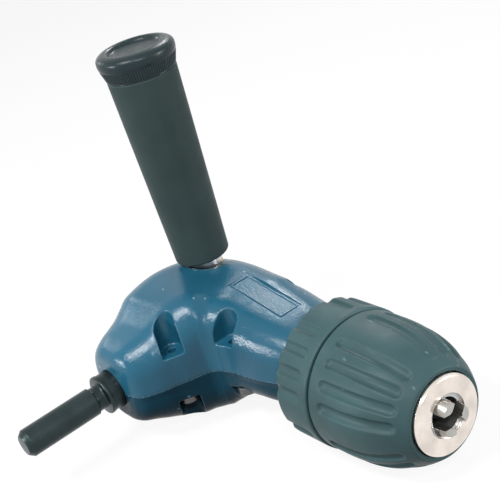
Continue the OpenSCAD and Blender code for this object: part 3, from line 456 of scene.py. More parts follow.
def finishes(scene):
    """All finishes by name, made once."""
    store = scene.get("attachment_finishes")
    if store:
        return {name: bpy.data.materials[name] for name in store}
    tones = scene.attachment_colours
    made = {
        "paint": paint_finish("paint", tuple(tones.paint)),
        # The lower half's paint is the housing colour darkened to half: painted shade for the underside, which
        # faces away from the lamps.
        "painted_shade_lower_paint": paint_finish("painted_shade_lower_paint", shaded(tones.paint, 0.5), 0.06),
        "black_oxide": turned_finish("black_oxide", tuple(tones.black_oxide), 0.3, ALONG_Y, 0.85),
        "nose": turned_finish("nose", tuple(tones.nose), 0.13, ALONG_X, 1.0, 0.000004),
        "jaw": turned_finish("jaw", tuple(tones.steel), 0.3, ALONG_X),
        "washer": turned_finish("washer", (0.6, 0.6, 0.6), 0.32, ALONG_Z),
        "dark_steel": turned_finish("dark_steel", (0.09, 0.09, 0.095), 0.35, ALONG_Z, 0.9),
        "plain_steel": turned_finish("plain_steel", (0.42, 0.42, 0.42), 0.34, ALONG_X),
        "gear_steel": turned_finish("gear_steel", (0.36, 0.36, 0.37), 0.3, ALONG_X),
        "bearing_steel": turned_finish("bearing_steel", (0.66, 0.67, 0.69), 0.15, ALONG_X),
        "bronze": turned_finish("bronze", (0.52, 0.33, 0.15), 0.4, ALONG_X),
        "brass": turned_finish("brass", (0.66, 0.5, 0.22), 0.28, ALONG_Z),
        "sleeve": moulded_finish("sleeve", tuple(tones.sleeve), 0.42, 0.0004, 0.14),
        "grip": moulded_finish("grip", tuple(tones.grip), 0.5, 0.00035, 0.1),
        "cap": moulded_finish("cap", tuple(tones.cap), 0.3, 0.0005),
        "seal": moulded_finish("seal", (0.02, 0.02, 0.02), 0.6, 0.0003),
    }
    scene["attachment_finishes"] = list(made)
    return made


# The housing.

# Sections across the input arm, round the inner corner and across the output arm. The arm rows hold the
# place along the arm, inner and outer half width, top, bottom, and the outer rounding's width and rise, and
# the corner rows hold the inner point, the outer point, top, bottom and the rounding, all as shares.
INPUT_ROWS = (
    (1, 0.5, 0.46, 0.435, 0.49, 0.46, 0.9), (0.971, 0.667, 0.58, 0.51, 0.555, 0.53, 0.9),
    (0.888, 0.825, 0.7, 0.575, 0.6, 0.65, 0.86), (0.728, 0.944, 0.79, 0.635, 0.64, 0.7, 0.79),
    (0.553, 1.044, 0.84, 0.685, 0.71, 0.73, 0.73), (0.364, 1.111, 0.88, 0.745, 0.8, 0.74, 0.66),
    (0.189, 1.2, 0.93, 0.83, 0.87, 0.745, 0.59), (0, 1.278, 0.97, 0.925, 0.93, 0.75, 0.53))
CORNER_ROWS = (
    (1.33, -1.255, -1, -0.8, 0.99, 0.945, 0.74, 0.52), (1.37, -1.21, -1, -0.25, 1, 0.955, 0.84, 0.63),
    (1.4, -1.18, -0.92, 0.36, 0.985, 0.955, 1.1, 0.8), (1.43, -1.16, -0.62, 0.8, 0.935, 0.95, 1.25, 0.88),
    (1.47, -1.135, -0.12, 1, 0.89, 0.9, 1.05, 0.9), (1.52, -1.11, 0.44, 1.03, 0.865, 0.84, 0.85, 0.88),
    (1.56, -1.1, 0.94, 1.03, 0.84, 0.765, 0.77, 0.86))
OUTPUT_ROWS = (
    (0, 1.09, 1.02, 0.815, 0.69, 0.74, 0.83), (0.094, 1.05, 1.01, 0.79, 0.63, 0.74, 0.81),
    (0.182, 1.033, 0.995, 0.76, 0.585, 0.75, 0.79), (0.322, 1.005, 0.975, 0.725, 0.56, 0.76, 0.76),
    (0.497, 0.961, 0.95, 0.68, 0.575, 0.76, 0.74), (0.671, 0.889, 0.905, 0.635, 0.6, 0.75, 0.72),
    (0.829, 0.81, 0.835, 0.58, 0.615, 0.72, 0.7), (0.951, 0.733, 0.755, 0.53, 0.61, 0.67, 0.67),
    (1, 0.667, 0.68, 0.475, 0.585, 0.61, 0.65))
INPUT_CORNER = 1.39
OUTPUT_CORNER = 1.6
SHOULDER_SHARE = 0.64
LOWER_SHOULDER_SHARE = 1.3
SHOULDER_STEPS = 12
STATION_STEPS = 5
# Screw places as shares of the half width, with the side that each well opens to in degrees.
SCREWS = ((0.878, -1.589, -26), (-0.878, -1.589, 206), (1.722, -0.822, -90), (1.722, 0.822, 90),
          (-0.533, 0.533, 135))
WELL_RUN = 0.014
PLATE_PLACE = (0.0328, 0.0188, 11.1)


def section_values(size, side):
    """Inner point, outer point, height and outer rounding of every section of one half."""
    half = size.body_half
    height = size.body_top if side > 0 else size.body_bottom
    pick = (lambda row, at: row[at] * height) if side > 0 else (lambda row, at: row[at + 1] * height)
    values = []
    for row in INPUT_ROWS:
        y = -(half * INPUT_CORNER + row[0] * (size.input_reach - half * INPUT_CORNER))
        values.append((row[1] * half, y, -row[2] * half, y, pick(row, 3), row[5] * half, row[6]))
    for row in CORNER_ROWS:
        values.append((row[0] * half, row[1] * half, row[2] * half, row[3] * half, pick(row, 4),
                       row[6] * half, row[7]))
    for row in OUTPUT_ROWS:
        x = half * OUTPUT_CORNER + row[0] * (size.output_reach - half * OUTPUT_CORNER)
        values.append((x, -row[1] * half, x, row[2] * half, pick(row, 3), row[5] * half, row[6]))
    return [Vector(v) for v in values]


def smooth_run(values, steps):
    """Rows between the given rows, on a smooth curve through them."""
    places = [0.0]
    for a, b in zip(values, values[1:]):
        places.append(places[-1] + ((Vector(a[0:4]) - Vector(b[0:4])).length + 1e-6) ** 0.5)
    slopes = []
    for i, value in enumerate(values):
        before, after = max(i - 1, 0), min(i + 1, len(values) - 1)
        slopes.append((values[after] - values[before]) / (places[after] - places[before]))
    run = []
    for i in range(len(values) - 1):
        span = places[i + 1] - places[i]
        for k in range(steps):
            t = k / steps
            run.append(values[i] * (2 * t ** 3 - 3 * t ** 2 + 1) + values[i + 1] * (3 * t ** 2 - 2 * t ** 3)
                       + slopes[i] * span * (t ** 3 - 2 * t ** 2 + t)
                       + slopes[i + 1] * span * (t ** 3 - t ** 2))
    return run + [values[-1]]


def outline(size, side, row):
    """One section's closed outline, from the inner foot over the top to the outer foot."""
    inner, outer = Vector(row[0:2]), Vector(row[2:4])
    height, outer_wide, outer_tall = row[4], row[5], row[4] * row[6]
    across = (outer - inner).length
    step = (outer - inner) / across
    shoulder = min(size.shoulder_r, height * SHOULDER_SHARE)
    inner_wide = min(shoulder, across - outer_wide - 3 * size.wall_draft)
    inner_tall = shoulder * (1 if side > 0 else LOWER_SHOULDER_SHARE)

    def side_points(start, way, wide, tall):
        points = [(start.x, start.y, 0)]
        for k in range(SHOULDER_STEPS + 1):
            angle = math.pi / 2 * k / SHOULDER_STEPS
            p = start + way * (size.wall_draft + wide * (1 - math.cos(angle)))
            points.append((p.x, p.y, side * (height - tall + tall * math.sin(angle))))
        return points

    return side_points(inner, step, inner_wide, inner_tall) + side_points(outer, -step, outer_wide,
                                                                          outer_tall)[::-1]


def add_rooms(bm):
    """The rooms for the gears, shafts, bushes and bearing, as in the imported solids."""
    for place, rooms in (
        (ON_OUTPUT, ((0.0142, -0.003, 0.01885), (0.01102, 0.0187, 0.0249), (0.0098, 0.0248, 0.0263),
                     (0.0076, 0.0249, 0.04435), (0.00702, 0.0440, 0.0584), (0.00905, 0.05583, 0.0584))),
        (ON_INPUT, ((0.0144, -0.003, 0.0195), (0.00905, 0.0185, 0.02202), (0.00702, 0.0205, 0.029),
                    (0.0078, 0.028, 0.03615), (0.00702, 0.0351, 0.04465), (0.00665, 0.04415, 0.0466)))):
        for radius, start, end in rooms:
            add_disc(bm, place, radius, start, end, 96)


def housing_half(size, side):
    """One half of the housing: the lofted casting with its wells, rooms and bores."""
    rows = smooth_run(section_values(size, side), STATION_STEPS)
    bm = loft([outline(size, side, row) for row in rows])
    bmesh.ops.transform(bm, matrix=CROSSING, verts=bm.verts)
    piece = piece_from("housing_upper_casting" if side > 0 else "housing_lower_casting", bm)
    tool = bmesh.new()
    top = 0.03
    floor = size.well_floor if side > 0 else size.lower_well_floor
    for x, y, turn in SCREWS:
        place = CROSSING @ Matrix.Translation((x * size.body_half, y * size.body_half, 0))
        place = place @ Matrix.Rotation(math.radians(turn), 4, "Z")
        low, high = (floor, top) if side > 0 else (-top, -floor)
        add_disc(tool, place, size.well_w / 2, low, high)
        add_block(tool, place @ Matrix.Translation((WELL_RUN / 2, 0, (low + high) / 2)),
                  (WELL_RUN, size.well_w - 0.0001, high - low))
        add_disc(tool, place, 0.00145 if side > 0 else 0.00225, -0.001 if side > 0 else -floor - 0.001,
                 floor + 0.001 if side > 0 else 0.001, 32)
        if side > 0:
            add_disc(tool, place, 0.00202, -0.001, 0.00742, 32)
    add_rooms(tool)
    if side > 0:
        handle = CROSSING @ Matrix.Translation((0, bpy.context.scene.attachment_handle.offset, 0))
        foot = bpy.context.scene.attachment_handle.foot_z
        add_disc(tool, handle, 0.0072, foot, top)
        add_disc(tool, handle, 0.00602, 0.0148, foot - 0.0006)
        add_disc(tool, handle, 0.0056, foot - 0.0007, top)
    cut(piece, tool)
    softened(piece, size.cell, 4, 0.5)
    if side > 0:
        cut(piece, recess_block(size))
        piece.data.shade_smooth()
        piece.data.set_sharp_from_angle(angle=math.radians(40))
    return piece


def recess_block(size):
    """The block that cuts the shallow recess, with its corners a little rounded."""
    x, z, slope = PLATE_PLACE
    place = CROSSING @ Matrix.Translation((x, 0, z)) @ Matrix.Rotation(math.radians(slope), 4, "Y")
    deep = size.plate_depth + 0.002
    bm = bmesh.new()
    add_block(bm, Matrix(), (size.plate_length, size.plate_width, deep))
    upright = [e for e in bm.edges if abs(e.verts[0].co.z - e.verts[1].co.z) > deep / 2]
    bmesh.ops.bevel(bm, geom=upright, offset=0.0004, offset_type="OFFSET", segments=3, profile=0.5,
                    affect="EDGES", material=-1)
    bmesh.ops.transform(bm, matrix=place @ Matrix.Translation((0, 0, deep / 2 - size.plate_depth)),
                        verts=bm.verts)
    return bm


class ATTACHMENT_OT_housing(Operator):
    """Build the two painted halves of the housing"""

    bl_idname = "attachment.housing"
    bl_label = "Housing halves"

    def execute(self, context):
        size = context.scene.attachment_housing
        looks = finishes(context.scene)
        # The lower half takes the paint darkened as painted shade.
        for side, node, look in ((1, "housing_upper", "paint"), (-1, "housing_lower", "painted_shade_lower_paint")):
            fitted(housing_half(size, side), "housing", [node], looks[look])
        return {"FINISHED"}


class ATTACHMENT_OT_nameplate(Operator):
    """Build the fine raised line inside the shallow recess on the output arm"""

    bl_idname = "attachment.nameplate"
    bl_label = "Recess line"

    def execute(self, context):
        size = context.scene.attachment_housing
        x, z, slope = PLATE_PLACE
        place = CROSSING @ Matrix.Translation((x, 0, z)) @ Matrix.Rotation(math.radians(slope), 4, "Y")
        inset, line, rise = 0.0009, 0.0004, 0.0003
        bm = bmesh.new()
        bmesh.ops.create_grid(bm, x_segments=1, y_segments=1, size=0.5, matrix=Matrix.Diagonal(
            (size.plate_length - 2 * inset, size.plate_width - 2 * inset, 1, 1)))
        bmesh.ops.bevel(bm, geom=bm.verts[:], offset=0.0005, offset_type="OFFSET", segments=3, profile=0.5,
                        affect="VERTICES", material=-1)
        inner = bmesh.ops.inset_region(bm, faces=bm.faces[:], thickness=line, use_even_offset=True,
                                       use_boundary=True)
        ring = inner["faces"]
        bmesh.ops.delete(bm, geom=[f for f in bm.faces if f not in ring], context="FACES")
        raised = bmesh.ops.extrude_face_region(bm, geom=bm.faces[:])
        bmesh.ops.translate(bm, vec=(0, 0, rise + 0.0002),
                            verts=[v for v in raised["geom"] if isinstance(v, bmesh.types.BMVert)])
        bmesh.ops.translate(bm, vec=(0, 0, -size.plate_depth - 0.0002), verts=bm.verts)
        bmesh.ops.recalc_face_normals(bm, faces=bm.faces)
        bmesh.ops.transform(bm, matrix=place, verts=bm.verts)
        piece = edged(piece_from("recess_line", bm), 0.00006)
        fitted(piece, "housing", [], finishes(context.scene)["paint"])
        return {"FINISHED"}


class ATTACHMENT_OT_shank(Operator):
    """Build the blackened drive shank with its collar"""

    bl_idname = "attachment.shank"
    bl_label = "Drive shank"

    def execute(self, context):
        size = context.scene.attachment_shank
        reach = context.scene.attachment_housing.input_reach
        journal, collar, shank = size.journal_d / 2, size.collar_d / 2, size.shank_d / 2
        front = reach + size.collar_show
        start = front + size.neck_length
        end = start + size.shank_length
        neck = shank - size.neck_relief
        lip = collar + size.collar_lip
        piece = piece_from("drive_shank", turned([
            (0, 0.0076), (journal, 0.0076, 0.0004), (journal, 0.0335), (journal - 0.0005, 0.0335),
            (journal - 0.0005, 0.0361), (journal, 0.0361), (journal, 0.0447), (collar, 0.0447, 0.0002),
            (collar, front - 0.0013, 0.00015), (lip, front - 0.0013, 0.00015), (lip, front, 0.0004),
            (neck, front, 0.0005), (neck, start, 0.0005), (shank, start, 0.0003), (shank, end, 0.00012),
            (shank - size.shank_bevel * 0.85, end + size.shank_bevel, 0.00015),
            (0, end + size.shank_bevel)], ON_INPUT, 144))
        tool = bmesh.new()
        add_disc(tool, ON_INPUT @ Matrix.Translation((0, 0, 0.017256)) @ Matrix.Rotation(math.pi / 2, 4, "Y"),
                 0.00152, -0.007, 0.007, 32)
        cut(piece, tool)
        fitted(edged(piece, 0), "input", ["input_shaft"],
               finishes(context.scene)["black_oxide"])
        return {"FINISHED"}


DOME_CURVE = 2.8


def dome(size, radius, steps):
    """The outline of the sleeve's rounded front on a given radius."""
    start = size.chuck_start + size.rear_length + 0.0004 + size.sleeve_length - size.dome_length
    drop = (size.sleeve_d - size.ridge_d) / 2
    points = []
    for k in range(steps + 1):
        share = (k / steps) ** 0.65
        points.append((radius - drop * share ** DOME_CURVE, start + size.dome_length * share))
    return points


def grooves(size, start, end, surface):
    """Round-bottomed grooves with round ends, which follow the surface's radius along the sleeve."""
    bm = bmesh.new()
    around, ends, steps = 28, 7, 24
    for i in range(size.flute_places):
        if (i + 1) % 5 == 0:
            continue
        turn = Matrix.Rotation(math.radians(112 + i * 360 / size.flute_places), 4, "Z")
        made = bmesh.ops.create_uvsphere(bm, u_segments=around, v_segments=2 * ends + steps, radius=1)["verts"]
        for vert in made:
            level = round((1 - math.acos(max(-1, min(1, vert.co.z))) / math.pi) * (2 * ends + steps))
            lift, share = groove_station(level, ends, steps)
            along = start + size.flute_r + (end - start - 2 * size.flute_r) * share + lift * size.flute_r
            wide = size.flute_r * math.sqrt(max(0, 1 - lift * lift))
            spoke = Vector((vert.co.x, vert.co.y)).normalized() if wide > 1e-9 else Vector((0, 0))
            vert.co = (surface(along) + size.flute_rise + spoke.x * wide, spoke.y * wide, along)
        bmesh.ops.transform(bm, matrix=turn, verts=made)
    bmesh.ops.recalc_face_normals(bm, faces=bm.faces)
    bmesh.ops.transform(bm, matrix=ON_OUTPUT, verts=bm.verts)
    return bm


def groove_station(level, ends, steps):
    """Where a ring of the groove lies: how far into a round end, and its share of the straight length."""
    if level < ends:
        return -math.cos(math.pi / 2 * level / ends), 0
    if level > ends + steps:
        return math.sin(math.pi / 2 * (level - ends - steps) / ends), 1
    return 0, (level - ends) / steps


def dome_radius(size, along):
    """The sleeve's outer radius at a place along the chuck."""
    start = size.chuck_start + size.rear_length + 0.0004 + size.sleeve_length - size.dome_length
    share = max(0, (along - start) / size.dome_length)
    return size.sleeve_d / 2 - (size.sleeve_d - size.ridge_d) / 2 * min(1.2, share) ** DOME_CURVE


class ATTACHMENT_OT_sleeves(Operator):
    """Build the chuck's grooved collar and sleeve"""

    bl_idname = "attachment.sleeves"
    bl_label = "Chuck sleeves"

    def execute(self, context):
        size = context.scene.attachment_chuck
        plastic = finishes(context.scene)["sleeve"]
        self.collar(size, plastic)
        self.sleeve(size, plastic)
        return {"FINISHED"}

    def collar(self, size, plastic):
        start, outer = size.chuck_start, size.rear_d / 2
        end = start + size.rear_length
        bore, flange = 0.00902, 0.01782
        piece = piece_from("collar_grip", turned([
            (bore, start), (outer, start, 0.0013), (outer, end, 0.0006), (flange, end),
            (flange, start + 0.0022), (bore, start + 0.0022)], ON_OUTPUT, 192))
        cut(piece, grooves(size, start - 0.006, start + 0.0116, lambda along: outer))
        fitted(softened(piece, size.cell, 6, 0.7), "output", ["chuck_collar"], plastic)

    def sleeve(self, size, plastic):
        start = size.chuck_start + size.rear_length + 0.0004
        end = start + size.sleeve_length
        outer = size.sleeve_d / 2
        ring = size.ring_d / 2 + 0.00025
        inner = [(ring, end), (ring, end - 0.00185), (0.0113, end - 0.00185), (0.0113, 0.1016),
                 (0.0145, 0.0985), (0.0145, 0.0936), (0.0172, 0.0936)]
        piece = piece_from("sleeve_grip", turned(
            [(0.0172, start), (outer, start, 0.0006)] + dome(size, outer, 36) + inner, ON_OUTPUT, 192))
        cut(piece, grooves(size, start + 0.0038, start + 0.0302, lambda along: dome_radius(size, along)))
        fitted(softened(piece, size.cell, 6, 0.6), "sleeve", ["chuck_sleeve"], plastic)


class ATTACHMENT_OT_nose(Operator):
    """Build the polished nose cap and the three ground jaws"""

    bl_idname = "attachment.nose"
    bl_label = "Nose cap and jaws"

    def execute(self, context):
        size = context.scene.attachment_chuck
        looks = finishes(context.scene)
        outer, hole = size.ring_d / 2, size.nose_hole_d / 2
        end = size.chuck_start + size.rear_length + 0.0004 + size.sleeve_length + size.ring_show
        start, inner = end - 0.0031, 0.01097
        piece = piece_from("nose_ring", turned([
            (inner, start), (outer, start), (outer, end, 0.0011), (hole, end, 0.0003), (hole, end - 0.001),
            (inner, end - 0.001)], ON_OUTPUT, 160))
        fitted(edged(piece, 0.00008), "output", ["nose_cap"], looks["nose"])
        for number, body in enumerate(("first_jaw", "second_jaw", "third_jaw"), 1):
            node = f"jaw_{number}"
            fitted(copied(f"ground_jaw_{number}", node, 0.00015), body, [node],
                   looks["jaw"])
        return {"FINISHED"}


class ATTACHMENT_OT_handle(Operator):
    """Build the side handle: washer, threaded stud and grip"""

    bl_idname = "attachment.handle"
    bl_label = "Side handle"

    def execute(self, context):
        size = context.scene.attachment_handle
        looks = finishes(context.scene)
        place = CROSSING @ Matrix.Translation((0, size.offset, 0))
        foot = size.foot_z + 0.00005
        grip = foot + size.washer_t + 0.00005
        top = grip + size.grip_length
        low, high = size.base_d / 2, size.top_d / 2
        washer = piece_from("foot_ring", turned([
            (0.00405, foot), (size.washer_d / 2, foot, 0.0003), (size.washer_d / 2, foot + size.washer_t, 0.0003),
            (0.00405, foot + size.washer_t)], place, 96))
        fitted(edged(washer, 0.00005), "foot_washer", ["handle_washer"], looks["washer"])
        self.stud(place, foot - 0.00685, grip + 0.014, grip, looks["plain_steel"])
        shell = piece_from("grip_shell", turned([
            (0.00402, grip), (low, grip, 0.0009), (high, top, 0.0004), (0.009, top), (0.009, top - 0.0009),
            (0.0072, top - 0.0009), (0.0072, top - 0.009), (0.0065, top - 0.009),
            (0.0065, top - size.store_depth),
            (0, top - size.store_depth), (0, grip + 0.01402), (0.00402, grip + 0.01402)], place, 160))
        tool = bmesh.new()
        add_disc(tool, place, 0.00602, grip + 0.00198, grip + 0.00602, 6)
        cut(shell, tool)
        fitted(edged(shell, 0), "handle", ["handle_grip"], looks["grip"])
        return {"FINISHED"}

    def stud(self, place, bottom, top, grip, steel):
        """A right-hand thread of 1.25 mm on an 8 mm stud, with the hexagon that the grip is moulded on."""
        pitch, crest, root = 0.00125, 0.004, 0.0034
        core = turned([(0, bottom), (root, bottom, 0.0003), (root, top), (0, top)], place, 64)
        steps, turns = 48, int((top - bottom - 2 * pitch) / pitch)
        ridge = bmesh.new()
        tip = [ridge.verts.new(p) for p in ((root - 0.0001, 0, bottom), (crest, 0, bottom + pitch * 0.42),
                                             (crest, 0, bottom + pitch * 0.54),
                                             (root - 0.0001, 0, bottom + pitch * 0.96))]
        ridge.faces.new(tip)
        bmesh.ops.spin(ridge, geom=ridge.verts[:] + ridge.edges[:] + ridge.faces[:], cent=(0, 0, 0),
                       axis=(0, 0, 1), dvec=(0, 0, pitch / steps), angle=FULL_TURN * turns,
                       steps=steps * turns)
        bmesh.ops.transform(ridge, matrix=place, verts=ridge.verts)
        bmesh.ops.recalc_face_normals(ridge, faces=ridge.faces)
        add_disc(core, place, 0.006, grip + 0.002, grip + 0.006, 6)
        mesh = bpy.data.meshes.new("ridge")
        ridge.to_mesh(mesh)
        ridge.free()
        core.from_mesh(mesh)
        bpy.data.meshes.remove(mesh)
        fitted(edged(piece_from("threaded_stud", core), 0), "handle", ["handle_stud"], steel)


class ATTACHMENT_OT_cap(Operator):
    """Build the screw cap with its knurled band, rim and dish"""

    bl_idname = "attachment.cap"
    bl_label = "Screw cap"

    def execute(self, context):
        size = context.scene.attachment_handle
        looks = finishes(context.scene)
        place = CROSSING @ Matrix.Translation((0, size.offset, 0))
        base = size.foot_z + 0.00005 + size.washer_t + 0.00005 + size.grip_length + 0.00005
        top = base + size.cap_h
        band = base + size.ring_h
        band_top = band + size.knurl_h
        rim, crest = size.cap_d / 2, size.cap_d / 2 - size.rim_wide
        dish, floor = size.dish_d / 2, top - size.dish_depth
        valley = (size.top_d / 2 + 0.0001 - size.knurl_depth, rim - 2 * size.knurl_depth)
        bulge = [(rim - size.rim_wide * (1 - math.cos(turn)), top - size.rim_drop * (1 - math.sin(turn)))
                 for turn in (math.pi / 2 * k / RIM_STEPS for k in range(RIM_STEPS + 1))]
        bm = turned([
            (0.0055, base - 0.008), (0.00715, base - 0.008, 0.0003), (0.00715, base),
            (size.top_d / 2 - 0.0001, base, 0.00015), (valley[0] - 0.0001, band), (valley[0], band + 0.00012),
            (valley[1], band_top - 0.00012), (valley[1] + 0.0002, band_top),
            (rim - 0.0001, band_top + 0.0007, 0.0004), (rim, band_top + 0.0015), *bulge,
            (crest - 0.0004, top - 0.0001), (dish + 0.00035, top - 0.0004, 0.0003), (dish, floor + 0.0003),
            (dish - 0.0003, floor, 0.0001), (dish * 0.6, floor - 0.00018), (0, floor - 0.0003),
            (0, floor - 0.0022), (0.0055, floor - 0.0022)], Matrix(), 4 * size.knurl_count)
        self.knurl(bm, band, band_top, size)
        bmesh.ops.transform(bm, matrix=place, verts=bm.verts)
        fitted(edged(piece_from("screw_cap", bm), 0), "cap", ["handle_cap"], looks["cap"])
        return {"FINISHED"}

    def knurl(self, bm, low, high, size):
        """Stands the ridges of the band out of its valley."""
        for vert in bm.verts:
            if low + 0.00005 < vert.co.z < high - 0.00005 and vert.co.xy.length > size.top_d / 2 - 0.0005:
                angle = math.atan2(vert.co.y, vert.co.x) * size.knurl_count
                grow = 1 + size.knurl_depth * (0.5 + 0.5 * math.cos(angle)) ** 0.7 / vert.co.xy.length
                vert.co.x *= grow
                vert.co.y *= grow


RIM_STEPS = 10
INNER_FINISHES = {
    "housing_dowels": "jaw", "handle_insert": "brass", "input_bush_outer": "bronze",
    "input_bush_inner": "bronze", "output_bush": "bronze", "bearing_outer_ring": "bearing_steel",
    "input_gear": "gear_steel", "input_gear_pin": "jaw", "input_circlip": "dark_steel",
    "input_thrust_washer": "bronze", "output_shaft": "plain_steel", "output_gear": "gear_steel",
    "output_gear_pin": "jaw", "bearing_inner_ring": "bearing_steel", "output_circlip": "dark_steel",
    "chuck_body": "plain_steel", "chuck_front": "plain_steel", "chuck_screw": "dark_steel",
    "chuck_thrust_race": "bearing_steel", "bearing_cage": "brass", "bearing_balls": "bearing_steel",
    "chuck_nut": "gear_steel", "nut_ring": "plain_steel", "thrust_cage": "brass",
    "thrust_balls": "bearing_steel", "cap_seal": "seal",
}


class ATTACHMENT_OT_inner_pieces(Operator):
    """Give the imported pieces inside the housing, chuck and handle their finishes"""

    bl_idname = "attachment.inner_pieces"
    bl_label = "Inner pieces"

    def execute(self, context):
        looks = finishes(context.scene)
        for node, look in INNER_FINISHES.items():
            if node in NODES:
                NODES[node].data.materials.clear()
                NODES[node].data.materials.append(looks[look])
        fitted(copied("housing_screw_set", "housing_screws", 0.0002), "housing", ["housing_screws"],
               looks["dark_steel"])
        return {"FINISHED"}


class StageSettings(PropertyGroup):
    """The lamps and the background."""

    key: FloatProperty(name="Key light", description="Brightness of the long lamp overhead", default=36.0, min=0)
    front: FloatProperty(name="Front light", description="Brightness of the low lamp on the arm's side",
                         default=68.0, min=0)
    strip: FloatProperty(name="Strip light", description="Brightness of the lamp over the camera", default=50.0,
                         min=0)
    rim: FloatProperty(name="Rim light", description="Brightness of the lamp behind", default=36.0, min=0)
    left: FloatProperty(name="Left light", description="Brightness of the small lamp on the shank's side",
                        default=14.0, min=0)
    right: FloatProperty(name="Right light", description="Brightness of the low lamp beyond the chuck",
                         default=34.0, min=0)
    sky: FloatProperty(name="Sky", description="Strength of the even light from all round", default=0.1, min=0)
    floor_tone: FloatProperty(name="Floor", description="Paleness of the floor in the lamps' light",
                              default=0.1, min=0, max=1)


# Lamps: name, direction from the object in degrees, height in degrees, distance, width and height.
LAMPS = (("key", -80, 57, 0.60, 0.22, 0.10), ("front", -112, 14, 0.60, 0.07, 0.10),
         ("strip", -22, 41, 0.55, 0.13, 0.045), ("rim", 130, 37, 0.60, 0.12, 0.05),
         ("left", -172, 22, 0.60, 0.06, 0.06), ("right", 42, 9, 0.60, 0.07, 0.22))


def lamp(name, bearing, rise, distance, wide, tall, brightness):
    """A soft rectangular lamp that points at the middle of the object."""
    light = bpy.data.lights.new(name, "AREA")
    light.shape = "RECTANGLE"
    light.size, light.size_y = wide, tall
    light.energy = 4 * wide * tall * brightness
    made = bpy.data.objects.new(name, light)
    bpy.context.scene.collection.objects.link(made)
    middle = (CAD_BOX[0] + CAD_BOX[1]) / 2
    way = Matrix.Rotation(math.radians(bearing), 3, "Z") @ Matrix.Rotation(-math.radians(rise), 3, "Y")
    way = way @ Vector((1, 0, 0))
    made.location = middle + way * distance
    made.rotation_mode = "QUATERNION"
    made.rotation_quaternion = way.to_track_quat("Z", "Y")
    return made


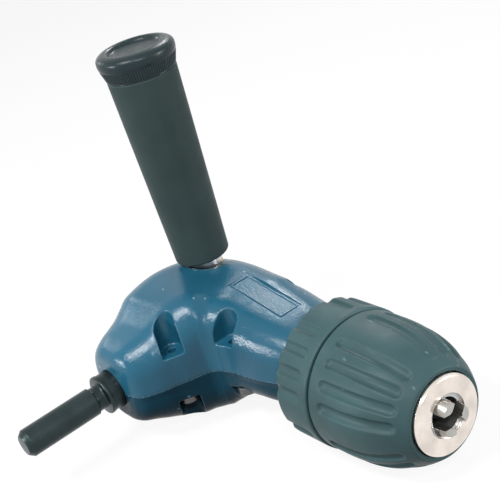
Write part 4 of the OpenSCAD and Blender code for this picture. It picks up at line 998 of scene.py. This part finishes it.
class ATTACHMENT_OT_stage(Operator):
    """Build the floor, the lamps, the white background and the camera"""

    bl_idname = "attachment.stage"
    bl_label = "Stage"

    def execute(self, context):
        self.camera(context.scene)
        self.floor()
        self.lights(context.scene)
        context.scene.view_settings.view_transform = "Standard"
        return {"FINISHED"}

    def camera(self, scene):
        data = bpy.data.cameras.new("camera")
        data.lens = 82.48
        data.sensor_width = 36
        data.clip_start, data.clip_end = 0.01, 20
        made = bpy.data.objects.new("camera", data)
        scene.collection.objects.link(made)
        made.matrix_world = Matrix(((0.5968, -0.1996, 0.7772, 0.3091), (0.7549, 0.4680, -0.4595, -0.0967),
                                    (-0.2720, 0.8609, 0.4300, 0.1880), (0, 0, 0, 1)))
        scene.camera = made

    def floor(self):
        bm = bmesh.new()
        bmesh.ops.create_grid(bm, x_segments=1, y_segments=1, size=3)
        bmesh.ops.translate(bm, vec=(0, 0, CAD_BOX[0].z - 0.0002), verts=bm.verts)
        floor = piece_from("floor", bm)
        look = bpy.data.materials.new("floor")
        look.use_nodes = True
        nodes, links = look.node_tree.nodes, look.node_tree.links
        shader = nodes["Principled BSDF"]
        tone = bpy.context.scene.attachment_stage.floor_tone
        shader.inputs["Base Color"].default_value = (tone, tone, tone, 1)
        shader.inputs["Roughness"].default_value = 0.9
        shader.inputs["Specular IOR Level"].default_value = 0.0
        shader.inputs["Emission Color"].default_value = (1, 1, 1, 1)
        shown = self.where_seen(nodes, links)
        level = nodes.new("ShaderNodeMath")
        level.operation = "MULTIPLY"
        level.inputs[1].default_value = 1 - tone
        links.new(shown, level.inputs[0])
        links.new(level.outputs[0], shader.inputs["Emission Strength"])
        floor.data.materials.append(look)

    def where_seen(self, nodes, links):
        """One where the camera, a reflection or a view through glass looks at the background."""
        path = nodes.new("ShaderNodeLightPath")
        total = path.outputs["Is Camera Ray"]
        for ray in ("Is Glossy Ray", "Is Transmission Ray"):
            either = nodes.new("ShaderNodeMath")
            either.operation = "MAXIMUM"
            links.new(total, either.inputs[0])
            links.new(path.outputs[ray], either.inputs[1])
            total = either.outputs[0]
        return total

    def lights(self, scene):
        stage = scene.attachment_stage
        for (name, *spot), brightness in zip(LAMPS, (stage.key, stage.front, stage.strip, stage.rim, stage.left,
                                                     stage.right)):
            lamp(name, *spot, brightness)
        world = bpy.data.worlds.new("world")
        scene.world = world
        world.use_nodes = True
        nodes, links = world.node_tree.nodes, world.node_tree.links
        sky = nodes["Background"]
        level = nodes.new("ShaderNodeMapRange")
        level.inputs["To Min"].default_value = stage.sky
        level.inputs["To Max"].default_value = 1.0
        links.new(self.where_seen(nodes, links), level.inputs["Value"])
        sky.inputs["Color"].default_value = (1, 1, 1, 1)
        links.new(level.outputs["Result"], sky.inputs["Strength"])


class ATTACHMENT_PT_panel(Panel):
    """Lists the steps in the order in which they are run."""

    bl_label = "Angle drive"
    bl_idname = "ATTACHMENT_PT_panel"
    bl_space_type = "VIEW_3D"
    bl_region_type = "UI"
    bl_category = "Angle drive"

    def draw(self, context):
        for step in STEPS:
            self.layout.operator(step.bl_idname)
        for name in GROUPS:
            box = self.layout.box()
            group = getattr(context.scene, name)
            box.label(text=name.replace("_", " "))
            for prop in group.bl_rna.properties:
                if prop.identifier not in ("rna_type", "name"):
                    box.prop(group, prop.identifier)


STEPS = (ATTACHMENT_OT_housing, ATTACHMENT_OT_nameplate, ATTACHMENT_OT_shank, ATTACHMENT_OT_sleeves,
         ATTACHMENT_OT_nose, ATTACHMENT_OT_handle, ATTACHMENT_OT_cap, ATTACHMENT_OT_inner_pieces,
         ATTACHMENT_OT_stage)
GROUPS = {"attachment_housing": HousingSizes, "attachment_shank": ShankSizes, "attachment_chuck": ChuckSizes,
          "attachment_handle": HandleSizes, "attachment_colours": FinishColours,
          "attachment_stage": StageSettings}


def register():
    for cls in (*GROUPS.values(), *STEPS, ATTACHMENT_PT_panel):
        bpy.utils.register_class(cls)
    for name, group in GROUPS.items():
        setattr(bpy.types.Scene, name, PointerProperty(type=group))


def unregister():
    for name in GROUPS:
        delattr(bpy.types.Scene, name)
    for cls in (ATTACHMENT_PT_panel, *STEPS[::-1], *list(GROUPS.values())[::-1]):
        bpy.utils.unregister_class(cls)


def main():
    register()
    for step in STEPS:
        area, name = step.bl_idname.split(".")
        getattr(getattr(bpy.ops, area), name)()


if __name__ == "__main__":
    main()
